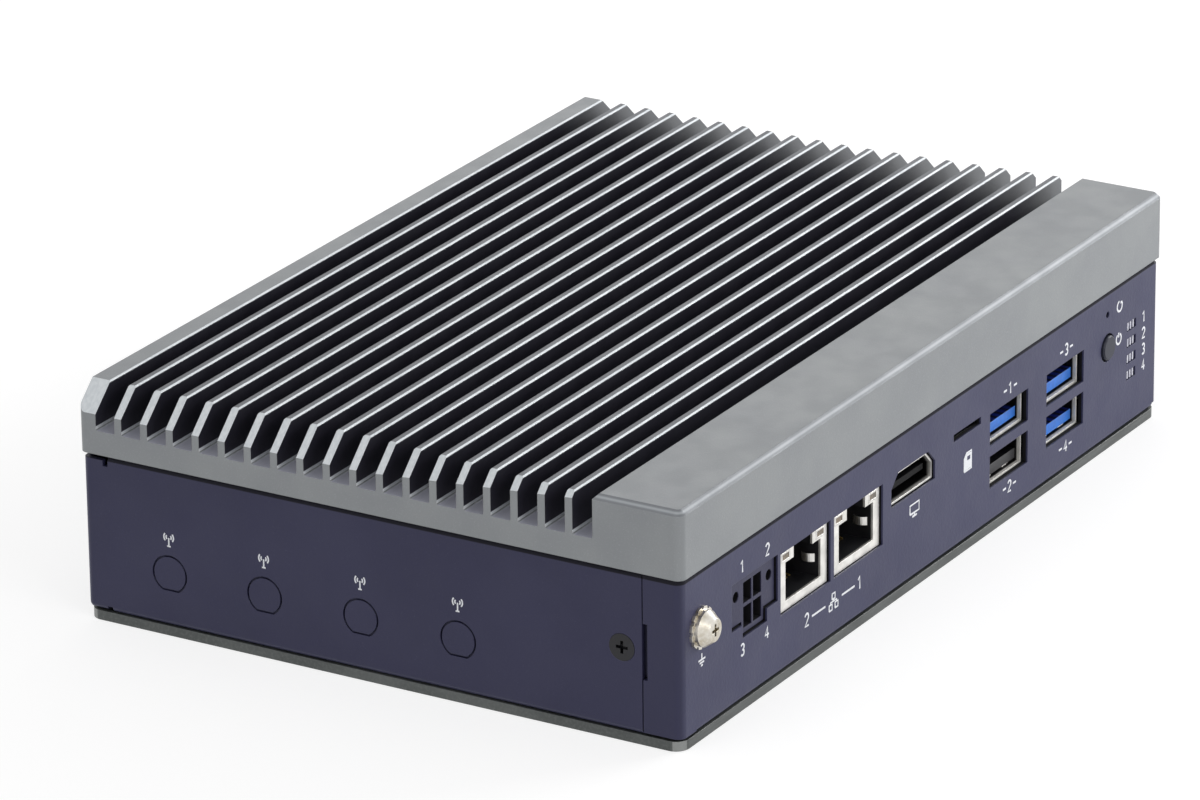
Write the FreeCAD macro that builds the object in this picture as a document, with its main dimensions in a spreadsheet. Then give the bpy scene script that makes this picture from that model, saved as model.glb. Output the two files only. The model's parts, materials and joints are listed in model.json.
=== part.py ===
import FreeCAD, Part
import math
import operator
import os

import Sketcher
from FreeCAD import Placement, Rotation, Vector

# Fanless industrial computer: a finned aluminium cover that is also the heatsink, a folded steel
# chassis with a separate port panel, a flat base plate, and the board that hangs from the cover.
#
# Frame: millimetres, +Z up. The origin is the centre of the base plate's underside. The port
# panel faces -Y, the side with the antenna knock-outs faces -X, and the fins run along X.

doc = FreeCAD.newDocument("fanless_industrial_pc")
sheet = doc.addObject("Spreadsheet::Sheet", "sizes")
sheet_rows = []


# ---------------------------------------------------------------------------------------------
# Sizes: a number that remembers the sheet expression it came from
# ---------------------------------------------------------------------------------------------

SIGNS = {"+": operator.add, "-": operator.sub, "*": operator.mul, "/": operator.truediv}


class Size:
    """A value in millimetres with the spreadsheet expression that gives it."""

    def __init__(self, value, text):
        self.value = value
        self.text = text

    def __add__(self, other):
        return combine(self, "+", other)

    def __radd__(self, other):
        return combine(other, "+", self)

    def __sub__(self, other):
        return combine(self, "-", other)

    def __rsub__(self, other):
        return combine(other, "-", self)

    def __mul__(self, other):
        return combine(self, "*", other)

    def __rmul__(self, other):
        return combine(other, "*", self)

    def __truediv__(self, other):
        return combine(self, "/", other)

    def __neg__(self):
        return combine(0, "-", self)


def as_size(number):
    """Any number as a Size."""
    if isinstance(number, Size):
        return number
    return Size(float(number), repr(float(number)))


def combine(left, sign, right):
    """The sum, difference, product or quotient of two sizes, with its expression."""
    left = as_size(left)
    right = as_size(right)
    return Size(SIGNS[sign](left.value, right.value), f"({left.text} {sign} {right.text})")


def size(alias, value, note):
    """A new driving size: one row of the sheet, with its alias and what it measures."""
    sheet_rows.append(alias)
    row = len(sheet_rows)
    sheet.set(f"A{row}", alias)
    sheet.set(f"B{row}", str(value))
    sheet.set(f"C{row}", note)
    sheet.setAlias(f"B{row}", alias)
    return Size(float(value), f"{sheet.Name}.{alias}")


def derived(alias, rule, note):
    """A size that follows from others: a row of the sheet with its formula."""
    sheet_rows.append(alias)
    row = len(sheet_rows)
    formula = rule.text.replace(f"{sheet.Name}.", "")
    sheet.set(f"A{row}", alias)
    sheet.set(f"B{row}", f"={formula}")
    sheet.set(f"C{row}", note)
    sheet.setAlias(f"B{row}", alias)
    return Size(rule.value, f"{sheet.Name}.{alias}")


# Overall
WIDTH = size("width", 170.0, "cover, along the port face")
DEPTH = size("depth", 115.5, "cover, front to back")
HEIGHT = size("height", 42.0, "base plate underside to the flat band on the cover")

# Cover
COVER_BASE = size("cover_base", 30.0, "height of the cover's lower edge")
COVER_CORNER = size("cover_corner", 1.5, "radius of the cover's upright corners")
CHANNEL_FLOOR = size("channel_floor", 4.3, "channel floor above the cover's lower edge")
ROOF = size("roof", 2.0, "wall between the channels and the hollow below")
SKIRT = size("skirt", 8.0, "rim of the cover that sits on the chassis flanges")
BAND = size("band", 16.4, "flat band along the front edge")
REAR_FIN = size("rear_fin", 3.6, "thick fin along the rear edge")
FINS = size("fins", 18, "thin fins between the rear fin and the band")
FIN = size("fin", 1.4, "thickness of a thin fin")
FIN_DROP = size("fin_drop", 0.4, "fin tops below the band")
FIN_EDGE = size("fin_edge", 0.25, "chamfer on the fin tops")
FIN_ROOT = size("fin_root", 0.35, "radius at the fin roots")
FACET_RUN = size("facet_run", 4.8, "end facet along X at the rear")
FACET_DROP = size("facet_drop", 4.4, "end facet down from the fin tops at the rear")
FACET_TAPER = size("facet_taper", 43.3, "stretch behind the band over which the facet narrows")
FACET_END = size("facet_end", 0.7, "what is left of the facet at the band")
BAND_EDGE = size("band_edge", 0.9, "chamfer round the top of the band")
PEDESTAL = size("pedestal", 34.0, "side of the square block over the processor")
BOSS = size("boss", 3.4, "radius of the bosses that carry the board")

# Folded sheet
INSET = size("inset", 0.4, "sheet metal behind the cover's edge")
SHEET = size("sheet", 1.0, "thickness of the folded steel")
BEND = size("bend", 1.2, "outer radius of a fold")
FLANGE = size("flange", 7.0, "width of the flanges")
RETURN = size("panel_return", 7.05, "front panel's wrap round the corner")
SEAM = size("seam", 0.2, "gap between front panel and chassis")
RELIEF = size("relief", 1.0, "width of the bend reliefs")
RELIEF_DEPTH = size("relief_depth", 2.0, "height of the bend reliefs")
CORNER_FLANGE = size("corner_flange", 4.0, "stretch of the rear corner with no flange")
PANEL_BEND = size("panel_bend", 1.5, "outer radius of the panel's upright folds")
LEFT_STUB = size("left_stub", 4.8, "panel's face left of its flanges")
RIGHT_STUB = size("right_stub", 1.8, "panel's face right of its flanges")
STUB_GAP = size("stub_gap", 0.5, "gap above the base plate at the panel's left end")
STUB_NOTCH = size("stub_notch", 1.0, "gaps above and below the panel's right end")
TAB_LENGTH = size("tab_length", 8.4, "front panel tab behind the chassis side")
TAB_HEIGHT = size("tab_height", 9.6, "height of that tab")
TAB_SLOT = size("tab_slot", 0.8, "width of the slot that shows the tab's jog")
TAB_Z = size("tab_level", 16.3, "height of the tab and of its screw")
TAB_SCREW = size("tab_screw", 11.0, "side screw behind the panel's face")

# Base plate
PLATE = size("plate", 1.7, "base plate thickness")
PLATE_INSET = size("plate_inset", 0.4, "base plate behind the cover's edge")
PLATE_CORNER = size("plate_corner", 2.5, "radius of the base plate's corners")
MOUNT_X = size("mount_x", 75.0, "mounting holes apart along X")
MOUNT_Y = size("mount_y", 75.0, "mounting holes apart along Y")
MOUNT_BORE = size("mount_bore", 1.65, "core radius of the M4 mounting nuts")
NUT_SHANK = size("nut_shank", 2.7, "radius of a mounting nut's shank")
NUT_HEAD = size("nut_head", 3.9, "radius of a mounting nut's body")
NUT_HEIGHT = size("nut_height", 2.2, "mounting nut above the plate")

# Board
BOARD_UNDER = size("board_under", 22.75, "height of the board's underside")
BOARD = size("board", 1.6, "board thickness")
BOARD_SIDE = size("board_side", 4.6, "board edge inside the chassis walls")
BOARD_FRONT = size("board_front", 2.1, "board edge behind the panel's face")
BOARD_REAR = size("board_rear", 8.0, "board edge in front of the rear wall's face")
BOSS_SIDE = size("boss_side", 8.0, "bosses inside the board's ends")
BOSS_FRONT = size("boss_front", 27.0, "front bosses behind the panel's face")
BOSS_REAR = size("boss_rear", 13.0, "rear bosses in front of the rear wall's face")

# Screws
M3 = size("m_three", 1.45, "radius of an M3 shank")
M3_TAP = size("m_three_tap", 1.5, "radius of an M3 thread's hole")
M3_FREE = size("m_three_free", 1.65, "radius of an M3 clearance hole")
PAN_HEAD = size("pan_head", 2.7, "radius of a pan head")
PAN_HEIGHT = size("pan_height", 1.9, "height of a pan head")
SUNK_HEAD = size("sunk_head", 2.9, "radius of a base screw's countersunk head")
SIDE_HEAD = size("side_head", 2.35, "radius of a side screw's countersunk head")
SIDE_SHANK = size("side_shank", 1.2, "radius of a side screw")
HEAD_GAP = size("head_gap", 0.1, "room round a countersunk head")
SCREW_ROOM = size("screw_room", 0.3, "pan heads inside the chassis walls")
SCREW_FRONT = size("screw_front", 20.0, "front flange screws behind the panel's face")
SCREW_REAR = size("screw_rear", 12.0, "rear flange screws in front of the rear wall's face")
CROSS_WIDE = size("cross_wide", 0.55, "width of a cross recess")
CROSS_DEEP = size("cross_deep", 0.9, "depth of a cross recess")
FIT = size("fit", 0.05, "radial clearance of pins, shanks and plungers")

# Ports. They keep their sizes, and the gaps between them share what the panel has left over.
PORT_BACK = size("port_back", 0.5, "port faces behind the panel's face")
PORT_GAP = size("port_gap", 0.4, "room round a port in its cut-out")

JACK_PITCH = size("jack_pitch", 18.0, "network jacks apart")
JACK_WIDE = size("jack_wide", 16.0, "network jack width")
JACK_HIGH = size("jack_high", 10.8, "network jack height")
JACK_DEEP = size("jack_deep", 15.5, "network jack depth")
JACK_SKIN = size("jack_skin", 0.4, "thickness of a jack's shield")
JACK_MOUTH = size("jack_mouth", 11.8, "plug opening width")
JACK_MOUTH_HIGH = size("jack_mouth_high", 6.8, "plug opening height")
JACK_SILL = size("jack_sill", 1.6, "shield under the plug opening")
JACK_LATCH = size("jack_latch", 6.3, "latch notch width")
JACK_LATCH_HIGH = size("jack_latch_high", 2.2, "latch notch height")
JACK_BORE = size("jack_bore", 12.5, "plug opening depth")
LAMP_WIDE = size("lamp_wide", 2.9, "jack lamp width")
LAMP_HIGH = size("lamp_high", 1.4, "jack lamp height")
LAMP_IN = size("lamp_in", 0.35, "jack lamps inside the shield's walls")
LAMP_DOWN = size("lamp_down", 0.2, "jack lamps under the shield's top")
LAMP_DEEP = size("lamp_deep", 3.0, "jack lamps behind the shield's face")
CONTACT_PITCH = size("contact_pitch", 1.02, "jack contacts apart")
CONTACT_WIDE = size("contact_wide", 0.4, "jack contact width")
CONTACT_RISE = size("contact_rise", 11.0, "jack contacts' slope in degrees")
CONTACT_LONG = size("contact_long", 8.0, "jack contact length")

VIDEO_WIDE = size("video_wide", 15.0, "video port width")
VIDEO_HIGH = size("video_high", 5.3, "video port height")
VIDEO_SLOPE = size("video_slope", 2.3, "bevelled corners of the video port")
VIDEO_DEEP = size("video_deep", 11.0, "video port depth")
VIDEO_TONGUE = size("video_tongue", 11.0, "video port tongue width")
SHELL = size("shell", 0.35, "wall of a connector's shell")

CARD_WIDE = size("card_wide", 9.8, "card slot width in the panel")
CARD_HIGH = size("card_high", 1.35, "card slot height in the panel")
CARD_SOCKET = size("card_socket", 13.4, "card socket width")
CARD_DEEP = size("card_deep", 14.0, "card socket depth")

USB_PITCH = size("serial_pitch", 20.9, "columns of serial ports apart")
USB_WIDE = size("serial_wide", 13.2, "serial port shell width")
USB_MOUTH = size("serial_mouth", 5.15, "serial port opening height")
USB_STEP = size("serial_step", 7.8, "stacked serial ports apart")
USB_TOP = size("serial_top", 1.2, "upper opening below the board")
USB_DEEP = size("serial_deep", 17.0, "serial port depth")
USB_BACK = size("serial_back", 0.1, "serial shells behind the panel's inner face")
USB_BORE = size("serial_bore", 12.0, "serial opening depth")
TONGUE_WIDE = size("tongue_wide", 11.1, "serial tongue width")
TONGUE_HIGH = size("tongue_high", 1.84, "serial tongue thickness")
TONGUE_BACK = size("tongue_back", 0.7, "serial tongue behind the shell's face")
TONGUE_LIFT = size("tongue_lift", 0.65, "gap under a serial tongue")
TONGUE_ROOT = size("tongue_root", 2.0, "depth of the block that holds a tongue")

POWER_EARS = size("power_ears", 14.4, "power header across its ears")
POWER_EAR_HIGH = size("power_ear_high", 7.4, "ears' height")
POWER_WIDE = size("power_wide", 7.2, "power header's middle")
POWER_HIGH = size("power_high", 9.65, "power header's height")
POWER_DEEP = size("power_deep", 11.0, "power header's depth")
POWER_CELL_WIDE = size("power_cell_wide", 2.7, "pin cell width")
POWER_CELL_HIGH = size("power_cell_high", 3.7, "pin cell height")
POWER_CELL_PITCH = size("power_cell_pitch", 3.2, "pin cells apart along X")
POWER_ROW = size("power_row", 4.3, "rows of pin cells apart")
POWER_BORE = size("power_bore", 8.5, "pin cell depth")
POWER_EAR_HOLE = size("power_ear_hole", 0.95, "radius of the ear holes")
POWER_PIN = size("power_pin", 0.8, "side of a square pin")
PIN_BACK = size("pin_back", 2.0, "pins behind the header's face")

GROUND_Z = size("ground_level", 19.8, "height of the ground screw")
GROUND_HEAD = size("ground_head", 3.1, "radius of its head")
GROUND_HIGH = size("ground_high", 2.3, "height of its head")
WASHER = size("washer", 3.6, "radius of the toothed washer")
WASHER_THICK = size("washer_thick", 0.5, "thickness of the washer")

BUTTON_Z = size("button_level", 19.2, "height of the power button")
BUTTON = size("button", 2.25, "radius of the power button")
BUTTON_PROUD = size("button_proud", 0.5, "power button in front of the panel")
BUTTON_HOLE = size("button_hole", 2.6, "radius of its hole")
BUTTON_TRAVEL = size("button_travel", 0.5, "stroke of the power button")
BUTTON_FLANGE = size("button_flange", 3.2, "radius of its collar")
RESET_OFF = size("reset_off", 0.2, "reset pinhole left of the power button")
RESET_HOLE = size("reset_hole", 0.6, "radius of the reset pinhole")
RESET_Z = size("reset_level", 1.05, "reset plunger above the board")
PLUNGER = size("plunger", 1.1, "radius of the power switch's plunger")
RESET_PLUNGER = size("reset_plunger", 0.8, "radius of the reset plunger")
RESET_TRAVEL = size("reset_travel", 0.25, "stroke of the reset plunger")
COLLAR_THICK = size("collar_thick", 0.7, "thickness of the power button's collar")
SWITCH_BACK = size("switch_back", 2.2, "power switch behind the button's collar")
SWITCH_WIDE = size("switch_wide", 6.0, "width of the power switch")
SWITCH_DEEP = size("switch_deep", 4.0, "depth of the power switch")
SWITCH_UNDER = size("switch_under", 2.5, "power switch below its plunger's axis")
RESET_BACK = size("reset_back", 2.0, "reset switch behind the board's edge")
RESET_WIDE = size("reset_wide", 4.6, "width of the reset switch")
RESET_DEEP = size("reset_deep", 3.0, "depth of the reset switch")
RESET_OVER = size("reset_over", 1.5, "reset switch above its plunger's axis")
PLUNGER_IN = size("plunger_in", 1.0, "plungers inside their switches")

LED_TOP = size("lamp_top", 20.4, "height of the top status lamp")
LED_STEP = size("lamp_step", 3.05, "status lamps apart")
LED_WIDE = size("lamp_window", 3.3, "status lamp width")
LED_HIGH = size("lamp_window_high", 1.5, "status lamp height")
LED_BACK = size("lamp_back", 0.35, "status lamps behind the panel's face")
LED_RIB = size("lamp_rib", 0.4, "width of the ribs on a status lamp")
PIPE_BACK = size("pipe_back", 2.0, "spine of the light pipe behind the panel")
PIPE = size("pipe", 2.0, "depth of that spine")
LED_COUNT = 4
LED_RIBS = 3

# Antenna knock-outs
ANTENNA_FIRST = size("antenna_first", 16.75, "rearmost knock-out from the rear face")
ANTENNA_PITCH = size("antenna_pitch", 18.7, "knock-outs apart")
ANTENNA_Z = size("antenna_level", 11.1, "height of the knock-outs")
ANTENNA = size("antenna", 3.25, "radius of a knock-out")
ANTENNA_FLAT = size("antenna_flat", 2.85, "flat of a knock-out below its centre")
GROOVE = size("groove", 0.35, "width of the groove round a knock-out")
GROOVE_DEEP = size("groove_deep", 0.55, "depth of that groove")
ANTENNA_COUNT = 4

# What carries and is carried inside
CPU = size("processor", 24.0, "processor package side")
CPU_HIGH = size("processor_high", 1.3, "processor package height")
DIE = size("die", 11.0, "processor die side")
DIE_HIGH = size("die_high", 0.5, "processor die height")
PAD = size("thermal_pad", 0.5, "thermal pad thickness")
PAD_EDGE = size("pad_edge", 2.0, "thermal pad beyond the die")
COIL = size("coil", 6.6, "side of a power coil")
COIL_HIGH = size("coil_high", 3.0, "height of a power coil")
COIL_PITCH = size("coil_pitch", 9.0, "power coils apart")
COIL_OUT = size("coil_out", 34.5, "row of coils from the processor's centre")
CARD_LEVEL = size("card_level", 3.4, "expansion cards below the board")
MODULE = size("module", 0.8, "expansion card thickness")
CARD_BROAD = size("card_broad", 22.0, "expansion card width")
SSD_LONG = size("ssd_long", 80.0, "storage card length")
WIFI_LONG = size("wireless_long", 30.0, "wireless card length")
CARD_IN = size("card_in", 2.5, "expansion card inside its socket")
CARD_CHIP = size("card_chip", 1.2, "height of the chips on a card")
CARD_RIM = size("card_rim", 4.0, "chips inside a card's long edges")
SOCKET_DEEP = size("socket_deep", 7.0, "depth of a card-edge socket")
SOCKET_WALL = size("socket_wall", 1.0, "card-edge socket beyond its card")
SOCKET_UNDER = size("socket_under", 0.6, "sockets below their cards")
MEMORY_WIDE = size("memory_wide", 67.6, "memory module length")
MEMORY_DEEP = size("memory_deep", 30.0, "memory module width")
MEMORY_IN = size("memory_in", 3.0, "memory module inside its socket's bar")
MEMORY_BAR = size("memory_bar", 6.0, "depth of the memory socket's bar")
MEMORY_ARM = size("memory_arm", 2.0, "width of the memory socket's arms")
MEMORY_SIDE = size("memory_side", 3.0, "memory socket beyond its module")
MEMORY_OPEN = size("memory_open", 4.0, "memory module beyond the arms")
MEMORY_CHIP = size("memory_chip", 11.0, "length of a memory chip")
CHIP_START = size("chip_start", 8.0, "memory chips from the module's contacts")
CHIP_DEEP = size("chip_deep", 12.0, "width of a memory chip")
CHIP_HIGH = size("chip_high", 1.0, "height of a memory chip")
CELL = size("cell", 10.0, "coin cell radius")
CELL_HIGH = size("cell_high", 3.2, "coin cell thickness")
CELL_WALL = size("cell_wall", 1.5, "wall of the cell holder")
CELL_TOP = size("cell_top", 1.0, "roof of the cell holder")
CELL_BACK = size("cell_back", 3.75, "cell holder behind the serial ports")
CELL_SIDE = size("cell_side", 13.5, "cell holder inside the board's end")
INNER_ROOM = size("inner_room", 2.0, "room between the pieces under the board")
MEMORY_BACK = size("memory_back", 13.25, "memory socket behind the serial ports")

# Gaps along the panel, from its left end to its right end, at the nominal width
GAP_LEFT = size("gap_left", 2.6, "panel's end to the washer")
GAP_GROUND = size("gap_ground", 6.9, "washer to the power header")
GAP_POWER = size("gap_power", 1.75, "power header to the first jack")
GAP_JACK = size("gap_jack", 3.55, "second jack to the video port")
GAP_VIDEO = size("gap_video", 5.05, "video port to the card socket")
GAP_CARD = size("gap_card", 2.0, "card socket to the first serial ports")
GAP_SERIAL = size("gap_serial", 6.45, "second serial ports to the button's collar")
GAP_BUTTON = size("gap_button", 4.3, "button's collar to the status lamps")
GAP_RIGHT = size("gap_right", 8.8, "status lamps to the panel's end")

# Places that several pieces share
HALF_W = WIDTH / 2
HALF_D = DEPTH / 2
FACE = INSET - HALF_D
BACK = HALF_D - INSET
SIDE = HALF_W - INSET
PANEL_INNER = FACE + SHEET
PORT_FACE = FACE + PORT_BACK
USB_FACE = PANEL_INNER + USB_BACK
PANEL_END = FACE + RETURN
CHASSIS_FRONT = PANEL_END + SEAM
FLOOR_Z = COVER_BASE + CHANNEL_FLOOR
ROOF_Z = FLOOR_Z - ROOF
FIN_TOP = HEIGHT - FIN_DROP
BAND_IN = BAND - HALF_D
CHANNEL = (DEPTH - BAND - REAR_FIN - FINS * FIN) / (FINS + 1)
FIN_PITCH = CHANNEL + FIN
BOARD_TOP = BOARD_UNDER + BOARD
CPU_TOP = BOARD_TOP + CPU_HIGH + DIE_HIGH
MODULE_Z = BOARD_UNDER - CARD_LEVEL - MODULE
GAPS = [
    GAP_LEFT, GAP_GROUND, GAP_POWER, GAP_JACK, GAP_VIDEO,
    GAP_CARD, GAP_SERIAL, GAP_BUTTON, GAP_RIGHT,
]
PORTS = [
    2 * WASHER, POWER_EARS, JACK_WIDE + JACK_PITCH, VIDEO_WIDE,
    CARD_SOCKET, USB_WIDE + USB_PITCH, 2 * BUTTON_FLANGE, LED_WIDE,
]
FREE = derived("free", 2 * SIDE - sum(PORTS), "panel length that the ports leave free")
STRETCH = derived("stretch", FREE / sum(GAPS), "gaps against their nominal widths")


def next_port(alias, start, gap, reach, note):
    """The middle of a port, after the end of the one before it and a stretched gap."""
    return derived(alias, start + gap * STRETCH + reach, note)


GROUND_X = next_port("ground_x", -SIDE, GAP_LEFT, WASHER, "ground screw")
POWER_X = next_port("power_x", GROUND_X + WASHER, GAP_GROUND, POWER_EARS / 2, "power header")
JACK_X = next_port("jack_x", POWER_X + POWER_EARS / 2, GAP_POWER, JACK_WIDE / 2, "first jack")
JACKS = [JACK_X, JACK_X + JACK_PITCH]
VIDEO_X = next_port("video_x", JACKS[1] + JACK_WIDE / 2, GAP_JACK, VIDEO_WIDE / 2, "video port")
CARD_X = next_port("card_x", VIDEO_X + VIDEO_WIDE / 2, GAP_VIDEO, CARD_SOCKET / 2, "card slot")
USB_X = next_port("serial_x", CARD_X + CARD_SOCKET / 2, GAP_CARD, USB_WIDE / 2, "serial ports")
USB_COLUMNS = [USB_X, USB_X + USB_PITCH]
USB_END = USB_COLUMNS[1] + USB_WIDE / 2
BUTTON_X = next_port("button_x", USB_END, GAP_SERIAL, BUTTON_FLANGE, "power button")
RESET_X = BUTTON_X - RESET_OFF
LED_X = next_port("lamp_x", BUTTON_X + BUTTON_FLANGE, GAP_BUTTON, LED_WIDE / 2, "status lamps")
USB_ROWS = [BOARD_UNDER - USB_TOP, BOARD_UNDER - USB_TOP - USB_STEP]
LED_ROWS = [LED_TOP - LED_STEP * index for index in range(LED_COUNT)]
SCREW_IN = SHEET + PAN_HEAD + SCREW_ROOM
BOARD_END = SIDE - BOARD_SIDE
BOSS_X = BOARD_END - BOSS_SIDE
BOSSES = [(side * BOSS_X, y) for side in (-1, 1) for y in (FACE + BOSS_FRONT, BACK - BOSS_REAR)]
FLANGE_SCREWS = [
    (side * (SIDE - SCREW_IN), y) for side in (-1, 1) for y in (FACE + SCREW_FRONT, BACK - SCREW_REAR)
]
MOUNT_HOLES = [(x * MOUNT_X / 2, y * MOUNT_Y / 2) for x in (-1, 1) for y in (-1, 1)]


# ---------------------------------------------------------------------------------------------
# Building blocks
# ---------------------------------------------------------------------------------------------

TURNS = {
    "x": Rotation(Vector(0, 1, 0), 90),
    "y": Rotation(Vector(1, 0, 0), -90),
    "z": Rotation(),
}


def place(feature, x, y, z):
    """Bind a feature's position to three sizes."""
    for letter, where in (("x", x), ("y", y), ("z", z)):
        feature.setExpression(f"Placement.Base.{letter}", as_size(where).text)


def span(middle, width):
    """The two ends of a width about its middle."""
    return (middle - width / 2, middle + width / 2)


def box(name, x, y, z):
    """A block between two sizes on each axis."""
    block = doc.addObject("Part::Box", name)
    for length, (low, high) in (("Length", x), ("Width", y), ("Height", z)):
        block.setExpression(length, (as_size(high) - low).text)
    place(block, x[0], y[0], z[0])
    return block


def rod(name, axis, middle, ends, radius, tip=None):
    """A cylinder along an axis, or a cone where its far end has another radius."""
    kind = "Part::Cylinder" if tip is None else "Part::Cone"
    piece = doc.addObject(kind, name)
    piece.Placement = Placement(Vector(), TURNS[axis])
    piece.setExpression("Height", (as_size(ends[1]) - ends[0]).text)
    if tip is None:
        piece.setExpression("Radius", as_size(radius).text)
    else:
        piece.setExpression("Radius1", as_size(radius).text)
        piece.setExpression("Radius2", as_size(tip).text)
    where = dict(zip([letter for letter in "xyz" if letter != axis], middle))
    where[axis] = ends[0]
    place(piece, where["x"], where["y"], where["z"])
    return piece


def fuse(name, *pieces):
    """Several pieces joined into one."""
    joined = doc.addObject("Part::MultiFuse", name)
    joined.Shapes = list(pieces)
    return joined


def cut(name, base, *tools):
    """A piece with tools taken away."""
    result = doc.addObject("Part::Cut", name)
    result.Base = base
    result.Tool = tools[0] if len(tools) == 1 else fuse(name + "_tools", *tools)
    return result


def group(name, pieces):
    """Separate solids kept as one sub-part."""
    bundle = doc.addObject("Part::Compound", name)
    bundle.Links = list(pieces)
    return bundle


def origin_feature(body, role):
    """An origin plane or axis of a body."""
    return next(item for item in body.Origin.OriginFeatures if item.Role == role)


def sketch_on(body, name, role, offset):
    """An empty sketch on an origin plane of its body, moved along the plane's normal."""
    sketch = body.newObject("Sketcher::SketchObject", name)
    sketch.AttachmentSupport = [(origin_feature(body, role), "")]
    sketch.MapMode = "FlatFace"
    sketch.setExpression("AttachmentOffset.Base.z", as_size(offset).text)
    return sketch


def hold(sketch, kind, geometry, point, distance):
    """Tie one point of a sketch to the sketch's origin at a distance from the sheet."""
    distance = as_size(distance)
    constraint = Sketcher.Constraint(kind, -1, 1, geometry, point, distance.value)
    index = sketch.addConstraint(constraint)
    sketch.setExpression(f"Constraints[{index}]", distance.text)


def draw_polygon(sketch, corners):
    """A closed polygon whose corners are each held from the sketch's origin."""
    first = sketch.GeometryCount
    count = len(corners)
    points = [Vector(as_size(x).value, as_size(y).value, 0) for x, y in corners]
    for index in range(count):
        sketch.addGeometry(Part.LineSegment(points[index], points[(index + 1) % count]))
    for index, (x, y) in enumerate(corners):
        after = first + (index + 1) % count
        sketch.addConstraint(Sketcher.Constraint("Coincident", first + index, 2, after, 1))
        hold(sketch, "DistanceX", first + index, 1, x)
        hold(sketch, "DistanceY", first + index, 1, y)


def draw_box(sketch, x, y):
    """A rectangle between two sizes each way."""
    draw_polygon(sketch, [(x[0], y[0]), (x[1], y[0]), (x[1], y[1]), (x[0], y[1])])


def draw_circle(sketch, x, y, radius):
    """A circle held by its centre and radius."""
    x, y, radius = as_size(x), as_size(y), as_size(radius)
    centre = Vector(x.value, y.value, 0)
    circle = sketch.addGeometry(Part.Circle(centre, Vector(0, 0, 1), radius.value))
    hold(sketch, "DistanceX", circle, 3, x)
    hold(sketch, "DistanceY", circle, 3, y)
    index = sketch.addConstraint(Sketcher.Constraint("Radius", circle, radius.value))
    sketch.setExpression(f"Constraints[{index}]", radius.text)


def pad(body, sketch, length, backwards=False):
    """Material added along the sketch's normal, or against it."""
    feature = body.newObject("PartDesign::Pad", sketch.Name + "_pad")
    feature.Profile = sketch
    feature.Reversed = backwards
    feature.setExpression("Length", as_size(length).text)
    body.Tip = feature
    doc.recompute()
    return feature


def pocket(body, sketch, length, along=False):
    """Material cut against the sketch's normal, or along it, and checked to cut something."""
    before = body.Tip.Shape.Volume
    feature = body.newObject("PartDesign::Pocket", sketch.Name + "_pocket")
    feature.Profile = sketch
    feature.Reversed = along
    feature.setExpression("Length", as_size(length).text)
    body.Tip = feature
    doc.recompute()
    assert feature.Shape.Volume < before, f"{feature.Name} cuts nothing"
    return feature


def dress(body, kind, name, amount, wanted):
    """A Fillet or Chamfer on the edges of the body's tip that the test picks."""
    base = body.Tip
    picked = [
        f"Edge{index}" for index, edge in enumerate(base.Shape.Edges, start=1) if wanted(edge)
    ]
    feature = body.newObject(f"PartDesign::{kind}", name)
    feature.Base = (base, picked)
    feature.setExpression("Radius" if kind == "Fillet" else "Size", amount.text)
    body.Tip = feature
    doc.recompute()
    return feature


def mirror_x(body, name, features):
    """The same features on the other side of the YZ plane."""
    feature = body.newObject("PartDesign::Mirrored", name)
    feature.Originals = features
    feature.MirrorPlane = (origin_feature(body, "YZ_Plane"), [""])
    body.Tip = feature
    doc.recompute()
    return feature


def repeat(body, name, features, axis, step, count, backwards=False):
    """Features repeated at a step along an origin axis."""
    feature = body.newObject("PartDesign::LinearPattern", name)
    feature.Originals = features
    feature.Direction = (origin_feature(body, axis), [""])
    feature.Reversed = backwards
    feature.setExpression("Length", (step * (count - 1)).text)
    feature.setExpression("Occurrences", as_size(count).text)
    body.Tip = feature
    doc.recompute()
    return feature


def new_body(name):
    """An empty body."""
    return doc.addObject("PartDesign::Body", name)


def near(first, second):
    """Whether two numbers or sizes are the same length."""
    return abs(as_size(first).value - as_size(second).value) < 0.01


def runs_along(edge, axis):
    """Whether a straight edge is parallel to an axis."""
    if edge.Curve.TypeId != "Part::GeomLine":
        return False
    return abs(getattr(edge.Curve.Direction, axis)) > 0.999


# ---------------------------------------------------------------------------------------------
# Cover
# ---------------------------------------------------------------------------------------------

def cover_blank(body):
    """The block with its rounded upright corners and its fins cut into it."""
    slab = sketch_on(body, "cover_slab", "XY_Plane", COVER_BASE)
    draw_box(slab, span(0, WIDTH), span(0, DEPTH))
    pad(body, slab, HEIGHT - COVER_BASE)
    dress(body, "Fillet", "cover_corners", COVER_CORNER, lambda edge: runs_along(edge, "z"))
    lower = sketch_on(body, "cover_fin_drop", "YZ_Plane", -HALF_W - 1)
    draw_box(lower, (BAND_IN, HALF_D + 1), (FIN_TOP, HEIGHT + 1))
    pocket(body, lower, WIDTH + 2, along=True)
    channel = sketch_on(body, "cover_channel", "YZ_Plane", -HALF_W - 1)
    draw_box(channel, (BAND_IN, BAND_IN + CHANNEL), (FLOOR_Z, HEIGHT + 1))
    first = pocket(body, channel, WIDTH + 2, along=True)
    repeat(body, "cover_channels", [first], "Y_Axis", FIN_PITCH, FINS + 1)


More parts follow.
